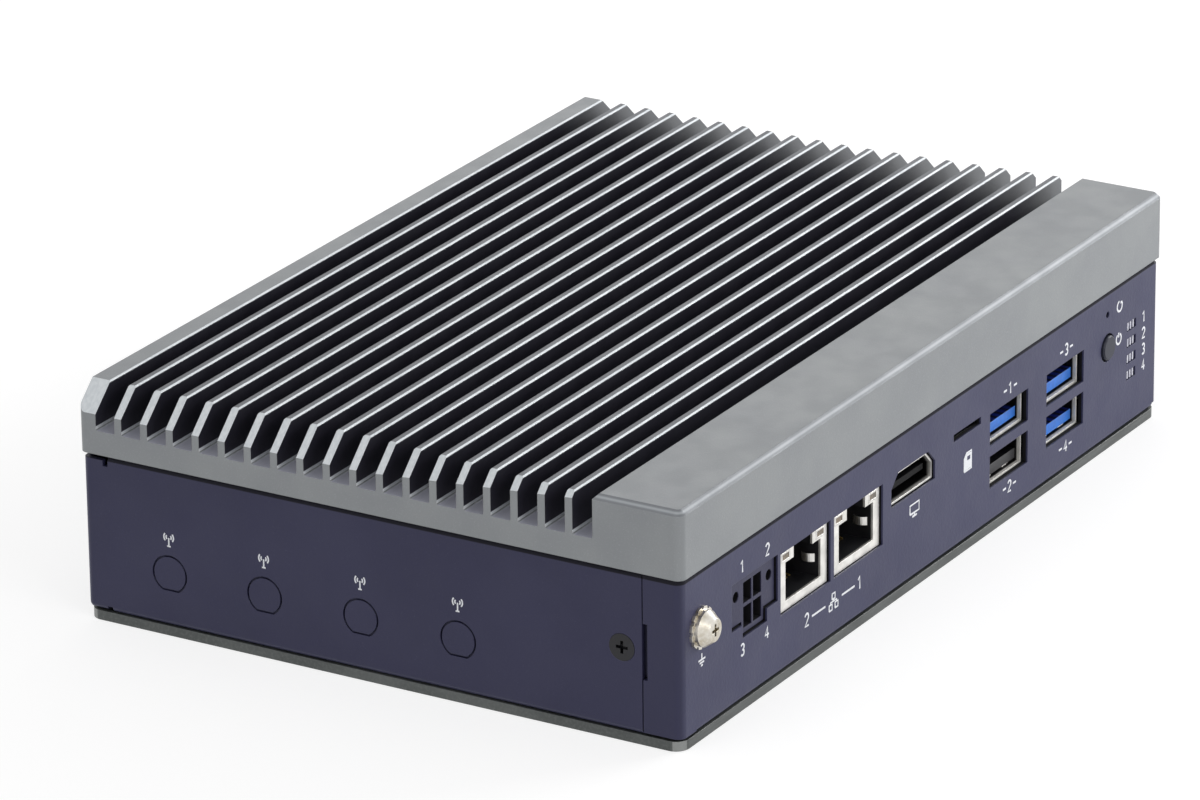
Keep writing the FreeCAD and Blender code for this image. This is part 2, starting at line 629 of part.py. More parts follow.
def cover_edges(body):
    """Rounded fin roots, and chamfers on the fin tops and round the band."""
    half_d = HALF_D.value

    def fin_root(edge):
        return runs_along(edge, "x") and near(edge.CenterOfMass.z, FLOOR_Z)

    def fin_top(edge):
        inside = abs(edge.CenterOfMass.y) < half_d - 0.01
        behind = edge.CenterOfMass.y > BAND_IN.value + 0.01
        return runs_along(edge, "x") and near(edge.CenterOfMass.z, FIN_TOP) and inside and behind

    def band_top(edge):
        return near(edge.BoundBox.ZMin, HEIGHT) and near(edge.BoundBox.ZMax, HEIGHT)

    dress(body, "Fillet", "cover_fin_roots", FIN_ROOT, fin_root)
    dress(body, "Chamfer", "cover_fin_tops", FIN_EDGE, fin_top)
    dress(body, "Chamfer", "cover_band_edges", BAND_EDGE, band_top)


def facet(body, name, y, run, drop):
    """The triangle that a facet takes off the cover's end at one depth."""
    over = 1
    slope = run / drop
    sketch = sketch_on(body, name, "XZ_Plane", -y)
    top = FIN_TOP + over
    draw_polygon(
        sketch,
        [
            (-HALF_W - over * slope, FIN_TOP - drop - over),
            (-HALF_W + run + over * slope, top),
            (-HALF_W - over * slope, top),
        ],
    )
    return sketch


def cover_facets(body):
    """The end facets: even along the rear, then narrowing to the band."""
    rear = facet(body, "cover_facet_rear", BAND_IN + FACET_TAPER, FACET_RUN, FACET_DROP)
    even = pocket(body, rear, DEPTH - BAND - FACET_TAPER + 1)
    start = facet(body, "cover_facet_start", BAND_IN + FACET_TAPER, FACET_RUN, FACET_DROP)
    end = facet(body, "cover_facet_end", BAND_IN, FACET_END, FACET_END)
    before = body.Tip.Shape.Volume
    narrowing = body.newObject("PartDesign::SubtractiveLoft", "cover_facet_front")
    narrowing.Profile = start
    narrowing.Sections = [end]
    narrowing.Ruled = True
    body.Tip = narrowing
    doc.recompute()
    assert narrowing.Shape.Volume < before, "the narrowing facet cuts nothing"
    mirror_x(body, "cover_facets_other_end", [even, narrowing])


def cover_hollow(body):
    """The hollow under the roof, the processor pedestal, the board bosses and tapped holes."""
    hollow = sketch_on(body, "cover_hollow", "XY_Plane", COVER_BASE)
    draw_box(hollow, span(0, WIDTH - 2 * SKIRT), span(0, DEPTH - 2 * SKIRT))
    pocket(body, hollow, ROOF_Z - COVER_BASE, along=True)
    block = sketch_on(body, "cover_pedestal", "XY_Plane", CPU_TOP + PAD)
    draw_box(block, span(0, PEDESTAL), span(0, PEDESTAL))
    pad(body, block, ROOF_Z - CPU_TOP - PAD)
    bosses = sketch_on(body, "cover_bosses", "XY_Plane", BOARD_TOP)
    for x, y in BOSSES:
        draw_circle(bosses, x, y, BOSS)
    pad(body, bosses, ROOF_Z - BOARD_TOP)
    threads = sketch_on(body, "cover_boss_threads", "XY_Plane", BOARD_TOP)
    for x, y in BOSSES:
        draw_circle(threads, x, y, M3_TAP)
    pocket(body, threads, ROOF_Z - BOARD_TOP, along=True)
    rim = sketch_on(body, "cover_rim_threads", "XY_Plane", COVER_BASE)
    for x, y in FLANGE_SCREWS:
        draw_circle(rim, x, y, M3_TAP)
    pocket(body, rim, CHANNEL_FLOOR - ROOF / 2, along=True)


def heatsink_cover():
    """The finned aluminium cover."""
    body = new_body("heatsink_cover")
    cover_blank(body)
    cover_edges(body)
    cover_facets(body)
    cover_hollow(body)
    return body


# ---------------------------------------------------------------------------------------------
# Sheet metal
# ---------------------------------------------------------------------------------------------

def front_panel():
    """The port panel: a folded face that wraps round both front corners, with its cut-outs."""
    body = new_body("front_panel_body")
    panel_face(body)
    panel_ends(body)
    panel_tabs(body)
    panel_ports(body)
    panel_small_holes(body)
    return cut("front_panel", body, *tab_holes())


def panel_face(body):
    """The face with its upper and lower flanges, open at both ends."""
    face = sketch_on(body, "panel_face", "XY_Plane", PLATE)
    draw_box(face, (LEFT_STUB - SIDE, SIDE - RIGHT_STUB), (FACE, PANEL_END))
    pad(body, face, COVER_BASE - PLATE)

    def fold(edge):
        return runs_along(edge, "x") and near(edge.CenterOfMass.y, FACE)

    dress(body, "Fillet", "panel_folds", BEND, fold)
    inside = sketch_on(body, "panel_inside", "XZ_Plane", -PANEL_END)
    draw_box(inside, (-HALF_W, HALF_W), (PLATE + SHEET, COVER_BASE - SHEET))
    pocket(body, inside, RETURN - SHEET, along=True)


def panel_ends(body):
    """The upright folds and the plain returns at both ends of the face."""
    for name, side, stub, below, above in (
        ("left", -1, LEFT_STUB, STUB_GAP, HEAD_GAP),
        ("right", 1, RIGHT_STUB, STUB_NOTCH, STUB_NOTCH),
    ):
        low = PLATE + below
        end = sketch_on(body, f"panel_{name}_end", "XY_Plane", low)
        outer = side * SIDE
        inner = side * (SIDE - SHEET)
        start = side * (SIDE - stub)
        draw_polygon(
            end,
            [
                (start, FACE),
                (outer, FACE),
                (outer, PANEL_END),
                (inner, PANEL_END),
                (inner, PANEL_INNER),
                (start, PANEL_INNER),
            ],
        )
        pad(body, end, COVER_BASE - above - low)

    def upright(edge):
        corner = near(abs(edge.CenterOfMass.x), SIDE) and near(edge.CenterOfMass.y, FACE)
        return runs_along(edge, "z") and corner

    dress(body, "Fillet", "panel_upright_folds", PANEL_BEND, upright)


def panel_tabs(body):
    """The jogged tabs that reach behind the chassis sides, and the slots that show them."""
    slot = sketch_on(body, "panel_slot", "YZ_Plane", -HALF_W)
    high = TAB_HEIGHT + 2 * HEAD_GAP
    draw_box(slot, (PANEL_END - TAB_SLOT, PANEL_END + 1), span(TAB_Z, high))
    pocket(body, slot, WIDTH, along=True)
    jog_end = PANEL_END - TAB_SLOT
    jog = sketch_on(body, "panel_jog", "XY_Plane", TAB_Z - TAB_HEIGHT / 2)
    inner = SHEET - SIDE
    draw_polygon(
        jog,
        [
            (inner, jog_end - 2 * SHEET),
            (inner, jog_end),
            (inner + HEAD_GAP, jog_end),
            (inner + HEAD_GAP, jog_end + TAB_LENGTH),
            (inner + HEAD_GAP + SHEET, jog_end + TAB_LENGTH),
            (inner + HEAD_GAP + SHEET, jog_end - 2 * SHEET),
        ],
    )
    tab = pad(body, jog, TAB_HEIGHT)
    mirror_x(body, "panel_other_tab", [tab])


def tab_holes():
    """The tapped holes of the two side screws in the tabs."""
    reach = (SIDE - SHEET - HEAD_GAP - SHEET - 1, SIDE - SHEET)
    holes = []
    for side, ends in ((-1, (-reach[1], -reach[0])), (1, reach)):
        name = f"panel_tab_hole_{'left' if side < 0 else 'right'}"
        holes.append(rod(name, "x", (FACE + TAB_SCREW, TAB_Z), ends, SIDE_SHANK + FIT))
    return holes


def power_outline(gap):
    """The stepped outline of the power header, with room round it."""
    ear = POWER_EARS / 2 + gap
    middle = POWER_WIDE / 2 + gap
    ear_z = BOARD_UNDER - POWER_EAR_HIGH - gap
    low_z = BOARD_UNDER - POWER_HIGH - gap
    top = BOARD_UNDER + gap
    return [
        (POWER_X - ear, top),
        (POWER_X - ear, ear_z),
        (POWER_X - middle, ear_z),
        (POWER_X - middle, low_z),
        (POWER_X + middle, low_z),
        (POWER_X + middle, ear_z),
        (POWER_X + ear, ear_z),
        (POWER_X + ear, top),
    ]


def video_outline(gap):
    """The outline of the video port, bevelled at its upper corners, grown by a gap."""
    half = VIDEO_WIDE / 2 + gap
    low = BOARD_UNDER - VIDEO_HIGH - gap
    top = BOARD_UNDER + gap
    corner = VIDEO_SLOPE + gap * math.tan(math.pi / 8)
    return [
        (VIDEO_X - half, low),
        (VIDEO_X + half, low),
        (VIDEO_X + half, top - corner),
        (VIDEO_X + half - corner, top),
        (VIDEO_X - half + corner, top),
        (VIDEO_X - half, top - corner),
    ]


def panel_ports(body):
    """The cut-outs of the connectors."""
    ports = sketch_on(body, "panel_port_holes", "XZ_Plane", -FACE)
    gap = PORT_GAP
    for x in JACKS:
        wide = span(x, JACK_WIDE + 2 * gap)
        draw_box(ports, wide, (BOARD_UNDER - JACK_HIGH - HEAD_GAP, BOARD_UNDER))
    for x in USB_COLUMNS:
        for top in USB_ROWS:
            wide = span(x, USB_WIDE + 2 * gap)
            draw_box(ports, wide, (top - USB_MOUTH - gap, top + gap))
    draw_polygon(ports, video_outline(gap / 2))
    draw_polygon(ports, power_outline(gap))
    draw_box(ports, span(CARD_X, CARD_WIDE), (BOARD_UNDER - CARD_HIGH, BOARD_UNDER))
    pocket(body, ports, SHEET + 0.5)


def panel_small_holes(body):
    """The holes of the ground screw, button, reset pin and status lamps."""
    holes = sketch_on(body, "panel_small_holes", "XZ_Plane", -FACE)
    draw_circle(holes, GROUND_X, GROUND_Z, M3 + FIT)
    draw_circle(holes, BUTTON_X, BUTTON_Z, BUTTON_HOLE)
    draw_circle(holes, RESET_X, BOARD_TOP + RESET_Z, RESET_HOLE)
    for z in LED_ROWS:
        draw_box(holes, span(LED_X, LED_WIDE + 2 * HEAD_GAP), span(z, LED_HIGH + 2 * HEAD_GAP))
    pocket(body, holes, SHEET + 0.5)


def chassis():
    """The folded U of both sides and the rear, with flanges top and bottom."""
    body = new_body("chassis_body")
    blank = sketch_on(body, "chassis_blank", "XY_Plane", PLATE)
    draw_box(blank, (-SIDE, SIDE), (CHASSIS_FRONT, BACK))
    pad(body, blank, COVER_BASE - PLATE)

    def fold(edge):
        return not near(edge.CenterOfMass.y, CHASSIS_FRONT)

    dress(body, "Fillet", "chassis_folds", BEND, fold)
    inside = sketch_on(body, "chassis_inside", "XZ_Plane", -CHASSIS_FRONT)
    draw_box(inside, (SHEET - SIDE, SIDE - SHEET), (PLATE + SHEET, COVER_BASE - SHEET))
    pocket(body, inside, BACK - SHEET - CHASSIS_FRONT)
    well = sketch_on(body, "chassis_well", "XY_Plane", PLATE)
    inner = SIDE - FLANGE
    draw_box(well, (-inner, inner), (CHASSIS_FRONT - 1, BACK - FLANGE))
    pocket(body, well, COVER_BASE - PLATE, along=True)
    chassis_reliefs(body)
    return cut("chassis", body, *chassis_holes())


def chassis_reliefs(body):
    """The bend reliefs and flange gaps at the rear corners."""
    edge = BACK - CORNER_FLANGE
    cuts = []
    for name, level, depth in (
        ("top", COVER_BASE, -SHEET),
        ("bottom", PLATE, SHEET / 2),
    ):
        gap = sketch_on(body, f"chassis_corner_{name}", "YZ_Plane", -HALF_W)
        draw_box(gap, (edge, HALF_D), (level, level + depth))
        cuts.append(pocket(body, gap, INSET + SHEET + RELIEF, along=True))
    for name, level, depth in (
        ("top", COVER_BASE, -RELIEF_DEPTH),
        ("bottom", PLATE, RELIEF_DEPTH / 2),
    ):
        notch = sketch_on(body, f"chassis_relief_{name}", "YZ_Plane", -HALF_W)
        draw_box(notch, (edge - RELIEF, edge), (level, level + depth))
        cuts.append(pocket(body, notch, FLANGE, along=True))
    mirror_x(body, "chassis_other_corner", cuts)


def knock_out(index):
    """One groove round an antenna knock-out: a ring with a flat at its foot."""
    y = BACK - ANTENNA_FIRST - ANTENNA_PITCH * index
    ends = (-SIDE - 1, -SIDE + GROOVE_DEEP)
    label = f"knock_out_{index + 1}"
    discs = []
    for part, radius, flat in (
        ("outer", ANTENNA + GROOVE / 2, ANTENNA_FLAT + GROOVE / 2),
        ("inner", ANTENNA - GROOVE / 2, ANTENNA_FLAT - GROOVE / 2),
    ):
        disc = rod(f"{label}_{part}_disc", "x", (y, ANTENNA_Z), ends, radius)
        below = (ANTENNA_Z - 2 * ANTENNA, ANTENNA_Z - flat)
        foot = box(f"{label}_{part}_foot", ends, span(y, 4 * ANTENNA), below)
        discs.append(cut(f"{label}_{part}", disc, foot))
    return cut(label, *discs)


def chassis_holes():
    """Antenna knock-outs, countersinks of the side screws and holes in the flanges."""
    tools = [knock_out(index) for index in range(ANTENNA_COUNT)]
    y = FACE + TAB_SCREW
    wide = SIDE_HEAD + HEAD_GAP
    narrow = wide - SHEET
    left = rod("side_sink_left", "x", (y, TAB_Z), (-SIDE, SHEET - SIDE), wide, narrow)
    right = rod("side_sink_right", "x", (y, TAB_Z), (SIDE - SHEET, SIDE), narrow, wide)
    tools += [left, right]
    for number, (x, y) in enumerate(FLANGE_SCREWS, start=1):
        top = (COVER_BASE - SHEET, COVER_BASE)
        low = (PLATE, PLATE + SHEET)
        tools.append(rod(f"top_flange_hole_{number}", "z", (x, y), top, M3_FREE))
        tools.append(rod(f"low_flange_hole_{number}", "z", (x, y), low, M3_TAP))
    return tools


def base_plate():
    """The flat bottom plate with countersunk and mounting holes."""
    body = new_body("base_plate_body")
    outline = sketch_on(body, "plate_outline", "XY_Plane", 0)
    draw_box(outline, span(0, WIDTH - 2 * PLATE_INSET), span(0, DEPTH - 2 * PLATE_INSET))
    pad(body, outline, PLATE)
    dress(body, "Fillet", "plate_corners", PLATE_CORNER, lambda edge: runs_along(edge, "z"))
    tools = []
    for number, (x, y) in enumerate(FLANGE_SCREWS, start=1):
        wide = SUNK_HEAD + HEAD_GAP
        tools.append(rod(f"plate_hole_{number}", "z", (x, y), (0, PLATE), M3_TAP))
        sink = (0, wide - M3_TAP)
        tools.append(rod(f"plate_sink_{number}", "z", (x, y), sink, wide, M3_TAP))
    for number, (x, y) in enumerate(MOUNT_HOLES, start=1):
        tools.append(rod(f"plate_mount_{number}", "z", (x, y), (0, PLATE), NUT_SHANK))
    return cut("base_plate", body, *tools)


# ---------------------------------------------------------------------------------------------
# Fasteners
# ---------------------------------------------------------------------------------------------

def cross(name, axis, middle, outer, inward):
    """The two crossed slots of a screw's recess, from its head's face inwards."""
    low = outer if inward > 0 else outer - CROSS_DEEP
    ends = (low, low + CROSS_DEEP)
    arms = []
    long = 4 * CROSS_WIDE
    for turn, (first, second) in enumerate(((CROSS_WIDE, long), (long, CROSS_WIDE))):
        sides = [span(middle[0], first), span(middle[1], second)]
        spans = {axis: ends}
        for letter in "xyz":
            if letter != axis:
                spans[letter] = sides.pop(0)
        arms.append(box(f"{name}_slot_{turn + 1}", spans["x"], spans["y"], spans["z"]))
    return arms


def side_screws():
    """The two countersunk screws that hold the front panel's tabs."""
    y = FACE + TAB_SCREW
    middle = (y, TAB_Z)
    screws = []
    sink = SIDE_HEAD - SIDE_SHANK
    for name, side in (("left", -1), ("right", 1)):
        face = side * SIDE
        tip = face - side * (2 * SHEET + HEAD_GAP + 2)
        if side < 0:
            head = rod(f"side_head_{name}", "x", middle, (face, face + sink), SIDE_HEAD, SIDE_SHANK)
            shank = rod(f"side_shank_{name}", "x", middle, (face, tip), SIDE_SHANK)
        else:
            head = rod(f"side_head_{name}", "x", middle, (face - sink, face), SIDE_SHANK, SIDE_HEAD)
            shank = rod(f"side_shank_{name}", "x", middle, (tip, face), SIDE_SHANK)
        blank = fuse(f"side_blank_{name}", head, shank)
        screws.append(cut(f"side_screw_{name}", blank, *cross(f"side_{name}", "x", middle, face, -side)))
    return group("side_screws", screws)


def base_screws():
    """The four countersunk screws of the base plate."""
    screws = []
    sink = SUNK_HEAD - M3
    for number, (x, y) in enumerate(FLANGE_SCREWS, start=1):
        head = rod(f"base_head_{number}", "z", (x, y), (0, sink), SUNK_HEAD, M3)
        shank = rod(f"base_shank_{number}", "z", (x, y), (0, PLATE + SHEET + 3), M3)
        blank = fuse(f"base_blank_{number}", head, shank)
        screws.append(cut(f"base_screw_{number}", blank, *cross(f"base_{number}", "z", (x, y), 0, 1)))
    return group("base_screws", screws)


def pan_screw(name, x, y, under, length):
    """An upright pan-head screw whose head hangs below a surface, with its shank going up."""
    head = rod(f"{name}_head", "z", (x, y), (under - PAN_HEIGHT, under), PAN_HEAD)
    shank = rod(f"{name}_shank", "z", (x, y), (under - PAN_HEIGHT, under + length), M3)
    blank = fuse(f"{name}_blank", head, shank)
    return cut(name, blank, *cross(name, "z", (x, y), under - PAN_HEIGHT, 1))


def cover_screws():
    """The four screws that hold the cover to the chassis flanges."""
    length = SHEET + CHANNEL_FLOOR - ROOF / 2 - 0.3
    level = COVER_BASE - SHEET
    places = enumerate(FLANGE_SCREWS, start=1)
    return group("cover_screws", [pan_screw(f"cover_screw_{n}", x, y, level, length) for n, (x, y) in places])


def board_screws():
    """The four screws that hold the board to the cover's bosses."""
    places = enumerate(BOSSES, start=1)
    screws = [pan_screw(f"board_screw_{n}", x, y, BOARD_UNDER, BOARD + 4) for n, (x, y) in places]
    return group("board_screws", screws)


def flange_nuts():
    """The four press nuts on the lower flanges, for the base plate's screws."""
    nuts = []
    low = PLATE + SHEET
    for number, (x, y) in enumerate(FLANGE_SCREWS, start=1):
        body = rod(f"flange_nut_body_{number}", "z", (x, y), (low, low + NUT_HEIGHT), PAN_HEAD)
        bore = rod(f"flange_nut_bore_{number}", "z", (x, y), (low, low + NUT_HEIGHT), M3_TAP)
        nuts.append(cut(f"flange_nut_{number}", body, bore))
    return group("flange_nuts", nuts)


def mounting_nuts():
    """The four M4 press nuts in the base plate, for a wall or rail bracket."""
    nuts = []
    for number, (x, y) in enumerate(MOUNT_HOLES, start=1):
        shank = rod(f"mount_nut_shank_{number}", "z", (x, y), (0, PLATE), NUT_SHANK)
        body = rod(f"mount_nut_body_{number}", "z", (x, y), (PLATE, PLATE + NUT_HEIGHT), NUT_HEAD)
        bore = rod(f"mount_nut_bore_{number}", "z", (x, y), (0, PLATE + NUT_HEIGHT), MOUNT_BORE)
        nuts.append(cut(f"mount_nut_{number}", fuse(f"mount_nut_blank_{number}", shank, body), bore))
    return group("mounting_nuts", nuts)


def ground_screw():
    """The pan-head ground screw."""
    middle = (GROUND_X, GROUND_Z)
    seat = FACE - WASHER_THICK
    face = seat - GROUND_HIGH
    body = new_body("ground_screw_body")
    profile = sketch_on(body, "ground_profile", "XY_Plane", GROUND_Z)
    edge = GROUND_HIGH / 3
    corner = GROUND_HEAD - GROUND_HIGH / 2
    draw_polygon(
        profile,
        [
            (GROUND_X, face),
            (GROUND_X + corner, face),
            (GROUND_X + GROUND_HEAD, face + GROUND_HIGH - edge),
            (GROUND_X + GROUND_HEAD, seat),
            (GROUND_X + M3, seat),
            (GROUND_X + M3, FACE + SHEET + 4),
            (GROUND_X, FACE + SHEET + 4),
        ],
    )
    turned = body.newObject("PartDesign::Revolution", "ground_turned")
    turned.Profile = profile
    turned.ReferenceAxis = (profile, ["Edge7"])
    turned.Angle = 360
    body.Tip = turned
    doc.recompute()
    return cut("ground_screw", body, *cross("ground", "y", middle, face, 1))


def ground_washer():
    """The washer with outer teeth under the ground screw."""
    teeth = 12
    middle = (GROUND_X, GROUND_Z)
    ends = (FACE - WASHER_THICK, FACE)
    disc = rod("washer_disc", "y", middle, ends, WASHER)
    notches = []
    for index in range(teeth):
        angle = 2 * math.pi * index / teeth
        where = (GROUND_X + WASHER * math.cos(angle), GROUND_Z + WASHER * math.sin(angle))
        notches.append(rod(f"washer_notch_{index + 1}", "y", where, ends, WASHER / 9))
    bore = rod("washer_bore", "y", middle, ends, M3 + FIT)
    return cut("ground_washer", disc, bore, *notches)


def ground_nut():
    """The press nut behind the panel that the ground screw turns into."""
    middle = (GROUND_X, GROUND_Z)
    ends = (PANEL_INNER, PANEL_INNER + NUT_HEIGHT)
    body = rod("ground_nut_body", "y", middle, ends, PAN_HEAD)
    return cut("ground_nut", body, rod("ground_nut_bore", "y", middle, ends, M3 + FIT))


# ---------------------------------------------------------------------------------------------
# Board and what sits on it
# ---------------------------------------------------------------------------------------------

def mainboard():
    """The printed board, hung under the cover's bosses."""
    x = (BOARD_SIDE - SIDE, SIDE - BOARD_SIDE)
    y = (FACE + BOARD_FRONT, BACK - BOARD_REAR)
    slab = box("mainboard_slab", x, y, (BOARD_UNDER, BOARD_TOP))
    holes = []
    for number, (hole_x, hole_y) in enumerate(BOSSES, start=1):
        ends = (BOARD_UNDER, BOARD_TOP)
        holes.append(rod(f"board_hole_{number}", "z", (hole_x, hole_y), ends, M3_FREE))
    return cut("mainboard", slab, *holes)


def processor():
    """The processor: a square package with its die on top."""
    low = BOARD_TOP + CPU_HIGH
    package = box("processor_package", span(0, CPU), span(0, CPU), (BOARD_TOP, low))
    die = box("processor_die", span(0, DIE), span(0, DIE), (low, CPU_TOP))
    return fuse("processor", package, die)


def thermal_pad():
    """The pad between the die and the cover's pedestal."""
    side = span(0, DIE + 2 * PAD_EDGE)
    return box("thermal_pad", side, side, (CPU_TOP, CPU_TOP + PAD))


def jack_shield(number, x):
    """The metal shield of a network jack, with the openings in its face."""
    name = f"jack_shield_{number}"
    low = BOARD_UNDER - JACK_HIGH
    back = PORT_FACE + JACK_DEEP
    outer = box(f"{name}_outer", span(x, JACK_WIDE), (PORT_FACE, back), (low, BOARD_UNDER))
    inner = box(
        f"{name}_inner",
        span(x, JACK_WIDE - 2 * JACK_SKIN),
        (PORT_FACE + JACK_SKIN, back + 1),
        (low + JACK_SKIN, BOARD_UNDER - JACK_SKIN),
    )
    through = (PORT_FACE - 1, PORT_FACE + JACK_SKIN + 0.1)
    mouth_z = (low + JACK_SILL, low + JACK_SILL + JACK_MOUTH_HIGH)
    mouth = box(f"{name}_mouth", span(x, JACK_MOUTH), through, mouth_z)
    latch_z = (mouth_z[1] - 0.1, mouth_z[1] + JACK_LATCH_HIGH)
    latch = box(f"{name}_latch", span(x, JACK_LATCH), through, latch_z)
    lamps = [box(f"{name}_{tag}", wide, through, z) for tag, wide, z in lamp_windows(x)]
    return cut(name, outer, inner, mouth, latch, *lamps)


def lamp_windows(x):
    """The two lamp windows in a jack's upper corners: a tag, the span along X and along Z."""
    z = span(BOARD_UNDER - JACK_SKIN - LAMP_HIGH / 2 - LAMP_DOWN, LAMP_HIGH)
    reach = JACK_WIDE / 2 - JACK_SKIN - LAMP_WIDE / 2 - LAMP_IN
    left = ("left_window", span(x - reach, LAMP_WIDE), z)
    right = ("right_window", span(x + reach, LAMP_WIDE), z)
    return [left, right]


def jack_housing(number, x):
    """The plastic inside a network jack, with the plug's opening."""
    name = f"jack_housing_{number}"
    low = BOARD_UNDER - JACK_HIGH
    front = PORT_FACE + JACK_SKIN
    block = box(
        f"{name}_block",
        span(x, JACK_WIDE - 2 * JACK_SKIN),
        (front, PORT_FACE + JACK_DEEP),
        (low + JACK_SKIN, BOARD_UNDER - JACK_SKIN),
    )
    reach = (front - 1, PORT_FACE + JACK_BORE)
    mouth_z = (low + JACK_SILL, low + JACK_SILL + JACK_MOUTH_HIGH)
    mouth = box(f"{name}_mouth", span(x, JACK_MOUTH), reach, mouth_z)
    latch_z = (mouth_z[1] - 0.1, mouth_z[1] + JACK_LATCH_HIGH)
    latch = box(f"{name}_latch", span(x, JACK_LATCH), reach, latch_z)
    seats = []
    for tag, wide, z in lamp_windows(x):
        seats.append(box(f"{name}_{tag}", wide, (front - 1, front + LAMP_DEEP), z))
    return cut(name, block, mouth, latch, *seats)


def jack_lamps(number, x):
    """The two lamps in the upper corners of a network jack."""
    name = f"jack_lamps_{number}"
    depth = (PORT_FACE + FIT, PORT_FACE + JACK_SKIN + LAMP_DEEP)
    return group(name, [box(f"{name}_{tag}", wide, depth, z) for tag, wide, z in lamp_windows(x)])


def jack_contacts(number, x):
    """The eight sprung wires on the floor of a network jack."""
    count = 8
    floor = BOARD_UNDER - JACK_HIGH + JACK_SILL
    wires = []
    for index in range(count):
        wire = doc.addObject("Part::Box", f"jack_{number}_contact_{index + 1}")
        wire.setExpression("Length", CONTACT_WIDE.text)
        wire.setExpression("Width", CONTACT_LONG.text)
        wire.setExpression("Height", (CONTACT_WIDE / 2).text)
        middle = x + (index - (count - 1) / 2) * CONTACT_PITCH
        wire.Placement = Placement(Vector(), Rotation(Vector(1, 0, 0), CONTACT_RISE.value))
        place(wire, middle - CONTACT_WIDE / 2, PORT_FACE + JACK_BORE - CONTACT_LONG, floor + FIT)
        wires.append(wire)
    return group(f"jack_contacts_{number}", wires)


def video_shell():
    """The metal shell of the video port."""
    body = new_body("video_shell")
    ring = sketch_on(body, "video_ring", "XZ_Plane", -PORT_FACE)
    draw_polygon(ring, video_outline(0))
    draw_polygon(ring, video_outline(-SHELL))
    pad(body, ring, VIDEO_DEEP, backwards=True)
    return body


def video_insert():
    """The plastic back and tongue of the video port."""
    body = new_body("video_insert")
    back = sketch_on(body, "video_back", "XZ_Plane", -(PORT_FACE + VIDEO_DEEP))
    draw_polygon(back, video_outline(-SHELL - FIT))
    pad(body, back, VIDEO_DEEP / 3)
    tongue = sketch_on(body, "video_tongue_face", "XZ_Plane", -(PORT_FACE + VIDEO_DEEP))
    middle = BOARD_UNDER - VIDEO_HIGH / 2
    draw_box(tongue, span(VIDEO_X, VIDEO_TONGUE), span(middle, 3 * SHELL))
    pad(body, tongue, VIDEO_DEEP - TONGUE_BACK)
    return body


def card_socket():
    """The metal socket behind the card slot."""
    y = (PANEL_INNER + HEAD_GAP, PANEL_INNER + CARD_DEEP)
    z = (BOARD_UNDER - CARD_HIGH - SHELL, BOARD_UNDER)
    case = box("card_socket_case", span(CARD_X, CARD_SOCKET), y, z)
    slot = box(
        "card_socket_slot",
        span(CARD_X, CARD_WIDE - 2 * SHELL),
        (y[0] - 1, y[1] - 1),
        (BOARD_UNDER - CARD_HIGH, BOARD_UNDER - SHELL),
    )
    return cut("card_socket", case, slot)


def serial_shell(number, x):
    """The metal shell of two stacked serial ports."""
    name = f"serial_shell_{number}"
    low = USB_ROWS[1] - USB_MOUTH - SHELL
    depth = (USB_FACE, USB_FACE + USB_DEEP)
    outer = box(f"{name}_outer", span(x, USB_WIDE), depth, (low, BOARD_UNDER))
    mouths = []
    for row, top in enumerate(USB_ROWS, start=1):
        wide = span(x, USB_WIDE - 2 * SHELL)
        reach = (USB_FACE - 1, USB_FACE + USB_BORE)
        mouths.append(box(f"{name}_mouth_{row}", wide, reach, (top - USB_MOUTH, top)))
    return cut(name, outer, *mouths)


def serial_tongue(number, x, row):
    """The plastic tongue of one serial port, with the block that holds it."""
    name = f"serial_tongue_{number}"
    low = USB_ROWS[row] - USB_MOUTH
    back = USB_FACE + USB_BORE
    z = (low + TONGUE_LIFT, low + TONGUE_LIFT + TONGUE_HIGH)
    blade = box(f"{name}_blade", span(x, TONGUE_WIDE), (USB_FACE + TONGUE_BACK, back), z)
    wide = span(x, USB_WIDE - 2 * SHELL - 2 * FIT)
    root = box(f"{name}_root", wide, (back - TONGUE_ROOT, back), (low + FIT, USB_ROWS[row] - FIT))
    return fuse(name, blade, root)


def power_header():
    """The two-by-two power header with its screw ears."""
    body = new_body("power_header_body")
    face = sketch_on(body, "power_face", "XZ_Plane", -PORT_FACE)
    draw_polygon(face, power_outline(0))
    pad(body, face, POWER_DEEP, backwards=True)
    cells = sketch_on(body, "power_cells", "XZ_Plane", -PORT_FACE)
    for x, z in power_cells():
        draw_box(cells, span(x, POWER_CELL_WIDE), span(z, POWER_CELL_HIGH))
    pocket(body, cells, POWER_BORE)
    ears = sketch_on(body, "power_ear_holes", "XZ_Plane", -PORT_FACE)
    reach = (POWER_EARS + POWER_WIDE) / 4
    for side in (-1, 1):
        draw_circle(ears, POWER_X + side * reach, BOARD_UNDER - POWER_EAR_HIGH / 3, POWER_EAR_HOLE)
    pocket(body, ears, POWER_BORE)
    return body


def power_cells():
    """The centres of the four pin cells along X and Z."""
    middle = BOARD_UNDER - POWER_HIGH / 2
    return [
        (POWER_X + side * POWER_CELL_PITCH / 2, middle + row * POWER_ROW / 2)
        for side in (-1, 1)
        for row in (-1, 1)
    ]


def power_pins():
    """The four pins of the power header."""
    depth = (PORT_FACE + PIN_BACK, PORT_FACE + POWER_BORE)
    pins = []
    for number, (x, z) in enumerate(power_cells(), start=1):
        pins.append(box(f"power_pin_{number}", span(x, POWER_PIN), depth, span(z, POWER_PIN)))
    return group("power_pins", pins)


# ---------------------------------------------------------------------------------------------
# Buttons and lamps
# ---------------------------------------------------------------------------------------------

COLLAR = (PANEL_INNER + HEAD_GAP, PANEL_INNER + HEAD_GAP + COLLAR_THICK)
POWER_SWITCH_Y = COLLAR[1] + SWITCH_BACK
RESET_SWITCH_Y = FACE + BOARD_FRONT + RESET_BACK


